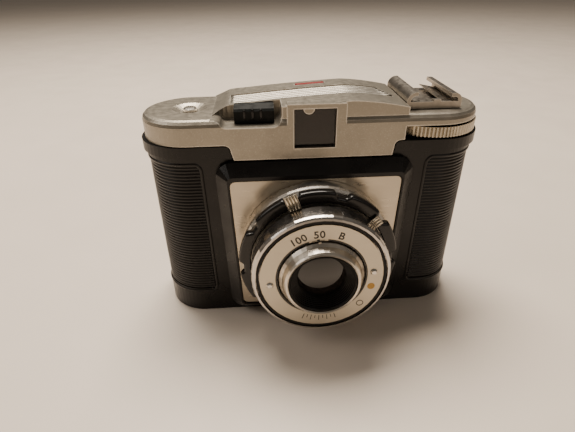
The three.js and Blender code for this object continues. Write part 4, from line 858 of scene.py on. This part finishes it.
class OBJECT_OT_camera_lens(bpy.types.Operator):
    """Lobed ring, stepped cell and domed glass of the lens unit"""

    bl_idname = "object.camera_lens"
    bl_label = "Lens unit"

    def execute(self, context):
        ring = new_piece("lobed_ring", lobed_ring(), "focus_grip", "ring_plastic")
        smooth_by_angle(ring, 50)
        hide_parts("focus_ring")
        cell = new_piece("stepped_cell", stepped_cell(), "lens_unit", "black_paint")
        smooth_by_angle(cell, 30)
        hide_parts("front_cell")
        glass = new_piece("front_glass", front_glass(), "lens_unit", "lens_glass")
        smooth_by_angle(glass, 40)
        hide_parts("front_lens")
        return {"FINISHED"}


# ---- Levers ---------------------------------------------------------------

RIB_START = 27.7
LEVER_RIB_HIGH = 0.42


def lever_ribs(node, degrees, half_width, tip, count):
    """Radial ridges on the front of a lever's tab."""
    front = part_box(node)[0].y
    pitch = 2 * half_width / count
    half = pitch * 0.36
    turn = Matrix.Rotation(math.radians(90 - degrees), 4, "Y")
    centre = Vector((LENS_X, 0, LENS_Z))
    sides = [(half, 0.0), (half * 0.9, -0.22), (half * 0.4, -LEVER_RIB_HIGH)]
    section = [(-across, out) for across, out in sides] + sides[::-1]
    ends = ((RIB_START, 0.25), (RIB_START + 0.3, 0.0), (tip - 0.35, 0.0), (tip - 0.02, 0.25))
    wide = len(section)
    points, faces = [], []
    for rib in range(count):
        base = len(points)
        middle_x = -half_width + pitch * (rib + 0.5)
        for reach, drop in ends:
            for across, out in section:
                point = centre + turn @ Vector(((middle_x + across) * MM, 0, reach * MM))
                points.append((point.x, front + (0.1 + min(0.0, out + drop)) * MM, point.z))
        faces += sweep_faces(len(ends), wide, closed=False, start=base)
        faces.append(tuple(base + c for c in range(wide)))
        faces.append(tuple(base + 3 * wide + c for c in range(wide)))
    return mesh_from("lever_ribs", points, faces)


def barrel_dot(degrees, radius):
    """A small domed index mark, set into the barrel."""
    low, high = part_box("lens_barrel")
    along = 0.35 * low.y + 0.65 * high.y
    out = Vector((math.cos(math.radians(degrees)), 0, math.sin(math.radians(degrees))))
    side = Vector((0, 1, 0)).cross(out)
    foot = Vector((LENS_X, along, LENS_Z)) + out * (high.x - LENS_X - 0.15 * MM)
    steps, rows = 20, ((1.0, 0.0), (1.0, 0.18), (0.8, 0.3), (0.45, 0.37))
    points = []
    for share, lift in rows:
        for step in range(steps):
            angle = 2 * math.pi * step / steps
            flat = Vector((0, math.cos(angle), 0)) + side * math.sin(angle)
            points.append(tuple(foot + flat * radius * share * MM + out * lift * MM))
    last = (len(rows) - 1) * steps
    faces = sweep_faces(len(rows), steps, closed=False)
    faces += [tuple(range(steps)), tuple(last + step for step in range(steps))]
    return mesh_from("barrel_dot", points, faces)


class OBJECT_OT_camera_levers(bpy.types.Operator):
    """Ridged faces on the two levers, and the index dot on the barrel"""

    bl_idname = "object.camera_levers"
    bl_label = "Levers"

    def execute(self, context):
        long_tab = lever_ribs("cocking_lever", 110, 2.3, 33.95, 4)
        new_piece("cocking_lever_ribs", long_tab, "cocking_arm", "rib_nickel")
        short_tab = lever_ribs("aperture_lever", 41, 1.9, 30.55, 3)
        new_piece("aperture_lever_ribs", short_tab, "stop_arm", "rib_nickel")
        new_piece("barrel_dot", barrel_dot(60, 0.7), "lens_unit", "mark_copper")
        return {"FINISHED"}


# ---- Finishes on the CAD pieces -------------------------------------------

# Width of the rounding on each piece's hard edges, in millimetres.
ROUNDED = {
    "front_body": 0.45, "top_cover": 0.5, "back_door": 0.4, "face_plate": 0.1, "base_ring": 0.15,
    "lens_barrel": 0.12, "speed_ring": 0.15, "shoe_channel": 0.18, "release_key": 0.45,
    "window_shutter": 0.15, "door_latch": 0.2, "cocking_lever": 0.12, "aperture_lever": 0.12,
    "winding_wheel": 0.08, "cover_screw": 0.1, "cover_badge": 0.06, "shoe_spring": 0.08,
}


class OBJECT_OT_camera_finishes(bpy.types.Operator):
    """Finishes on every piece of the frame, with small roundings on hard edges"""

    bl_idname = "object.camera_finishes"
    bl_label = "Finishes"

    def execute(self, context):
        make_finishes()
        slots = {row["node"]: row["material_slot"] for row in frame["record"]["subparts"]}
        for name, node in NODES.items():
            finish = FINISHES[slots[name]]
            if not node.material_slots:
                node.data.materials.append(finish)
            for material_slot in node.material_slots:
                material_slot.material = finish
            smooth_by_angle(node)
            if name in ROUNDED:
                soften_edges(node, ROUNDED[name] * MM)
        return {"FINISHED"}


# ---- The stage ------------------------------------------------------------

CAMERA_PLACE = Vector((-20.5, -173.8, 142.2)) * MM
CAMERA_TURN = math.radians(-3.37)
CAMERA_DROP = math.radians(30.6)
CAMERA_ROLL = math.radians(-0.79)
CAMERA_LENS = 26.6


# Each light's name, place, what it faces, size, power and colour.
LIGHTS = (
    ("ceiling_light", (-0.1, 0.4, 1.05), (0, 0, 0.05), (0.7, 0.5), 25, (1.0, 0.9, 0.78)),
    ("window_light", (-0.9, -0.1, 0.8), (0, 0, 0.05), (0.6, 0.6), 3, (1.0, 0.93, 0.85)),
    ("front_fill", (0.6, -0.8, 0.7), (0, 0, 0.04), (0.5, 0.4), 0.8, (1.0, 0.92, 0.84)),
)


def add_camera():
    forward = Vector((
        -math.sin(CAMERA_TURN) * math.cos(CAMERA_DROP), math.cos(CAMERA_TURN) * math.cos(CAMERA_DROP),
        -math.sin(CAMERA_DROP),
    ))
    right = Vector((math.cos(CAMERA_TURN), math.sin(CAMERA_TURN), 0))
    up = right.cross(forward)
    rolled_right = math.cos(CAMERA_ROLL) * right + math.sin(CAMERA_ROLL) * up
    rolled_up = -math.sin(CAMERA_ROLL) * right + math.cos(CAMERA_ROLL) * up
    turn = Matrix((rolled_right, rolled_up, -forward)).transposed()
    data = bpy.data.cameras.new("view_camera")
    data.lens = CAMERA_LENS
    data.clip_start = 0.005
    data.clip_end = 50
    camera = bpy.data.objects.new("view_camera", data)
    bpy.context.scene.collection.objects.link(camera)
    camera.matrix_world = Matrix.Translation(CAMERA_PLACE) @ turn.to_4x4()
    bpy.context.scene.camera = camera


def add_light(name, place, target, size, power, colour):
    data = bpy.data.lights.new(name, "AREA")
    data.shape = "RECTANGLE"
    data.size, data.size_y = size
    data.energy = power
    data.color = colour
    light = bpy.data.objects.new(name, data)
    bpy.context.scene.collection.objects.link(light)
    light.location = place
    light.rotation_euler = (Vector(target) - Vector(place)).to_track_quat("-Z", "Y").to_euler()
    return light


def add_floor():
    reach, steps = 4.0, 8
    places = samples(-reach, reach, steps + 1)
    points = [(x, y, -0.0002) for x in places for y in places]
    wide = steps + 1
    corners = [i * wide + j for i in range(steps) for j in range(steps)]
    faces = [(a, a + wide, a + wide + 1, a + 1) for a in corners]
    mesh = bpy.data.meshes.new("floor")
    mesh.from_pydata(points, [], faces)
    floor = bpy.data.objects.new("floor", mesh)
    bpy.context.scene.collection.objects.link(floor)
    mesh.materials.append(floor_surface())


class OBJECT_OT_camera_stage(bpy.types.Operator):
    """Pale floor, soft light and the view camera"""

    bl_idname = "object.camera_stage"
    bl_label = "Stage"

    def execute(self, context):
        add_floor()
        add_camera()
        for light in LIGHTS:
            add_light(*light)
        world = bpy.data.worlds.new("room")
        world.use_nodes = True
        background = world.node_tree.nodes["Background"]
        background.inputs["Color"].default_value = (1.0, 0.89, 0.76, 1)
        background.inputs["Strength"].default_value = 0.12
        bpy.context.scene.world = world
        return {"FINISHED"}


# ---- Panel and registering ------------------------------------------------

OPERATORS = (
    OBJECT_OT_camera_finishes,
    OBJECT_OT_camera_grips,
    OBJECT_OT_camera_flutes,
    OBJECT_OT_camera_lens,
    OBJECT_OT_camera_key,
    OBJECT_OT_camera_dial,
    OBJECT_OT_camera_levers,
    OBJECT_OT_camera_stage,
)


class VIEW3D_PT_camera(bpy.types.Panel):
    bl_idname = "VIEW3D_PT_camera"
    bl_label = "Roll-film camera"
    bl_space_type = "VIEW_3D"
    bl_region_type = "UI"
    bl_category = "Camera"

    def draw(self, context):
        column = self.layout.column()
        for operator in OPERATORS:
            column.operator(operator.bl_idname)
        for group in (context.scene.camera_sizes, context.scene.camera_colours):
            for name in group.__annotations__:
                column.prop(group, name)


CLASSES = (CameraSizes, CameraColours, *OPERATORS, VIEW3D_PT_camera)


def register():
    for cls in CLASSES:
        bpy.utils.register_class(cls)
    bpy.types.Scene.camera_sizes = PointerProperty(type=CameraSizes)
    bpy.types.Scene.camera_colours = PointerProperty(type=CameraColours)


def unregister():
    del bpy.types.Scene.camera_sizes
    del bpy.types.Scene.camera_colours
    for cls in reversed(CLASSES):
        bpy.utils.unregister_class(cls)


def main():
    register()
    bpy.ops.object.camera_finishes()
    bpy.ops.object.camera_grips()
    bpy.ops.object.camera_flutes()
    bpy.ops.object.camera_lens()
    bpy.ops.object.camera_key()
    bpy.ops.object.camera_dial()
    bpy.ops.object.camera_levers()
    bpy.ops.object.camera_stage()


if __name__ == "__main__":
    main()
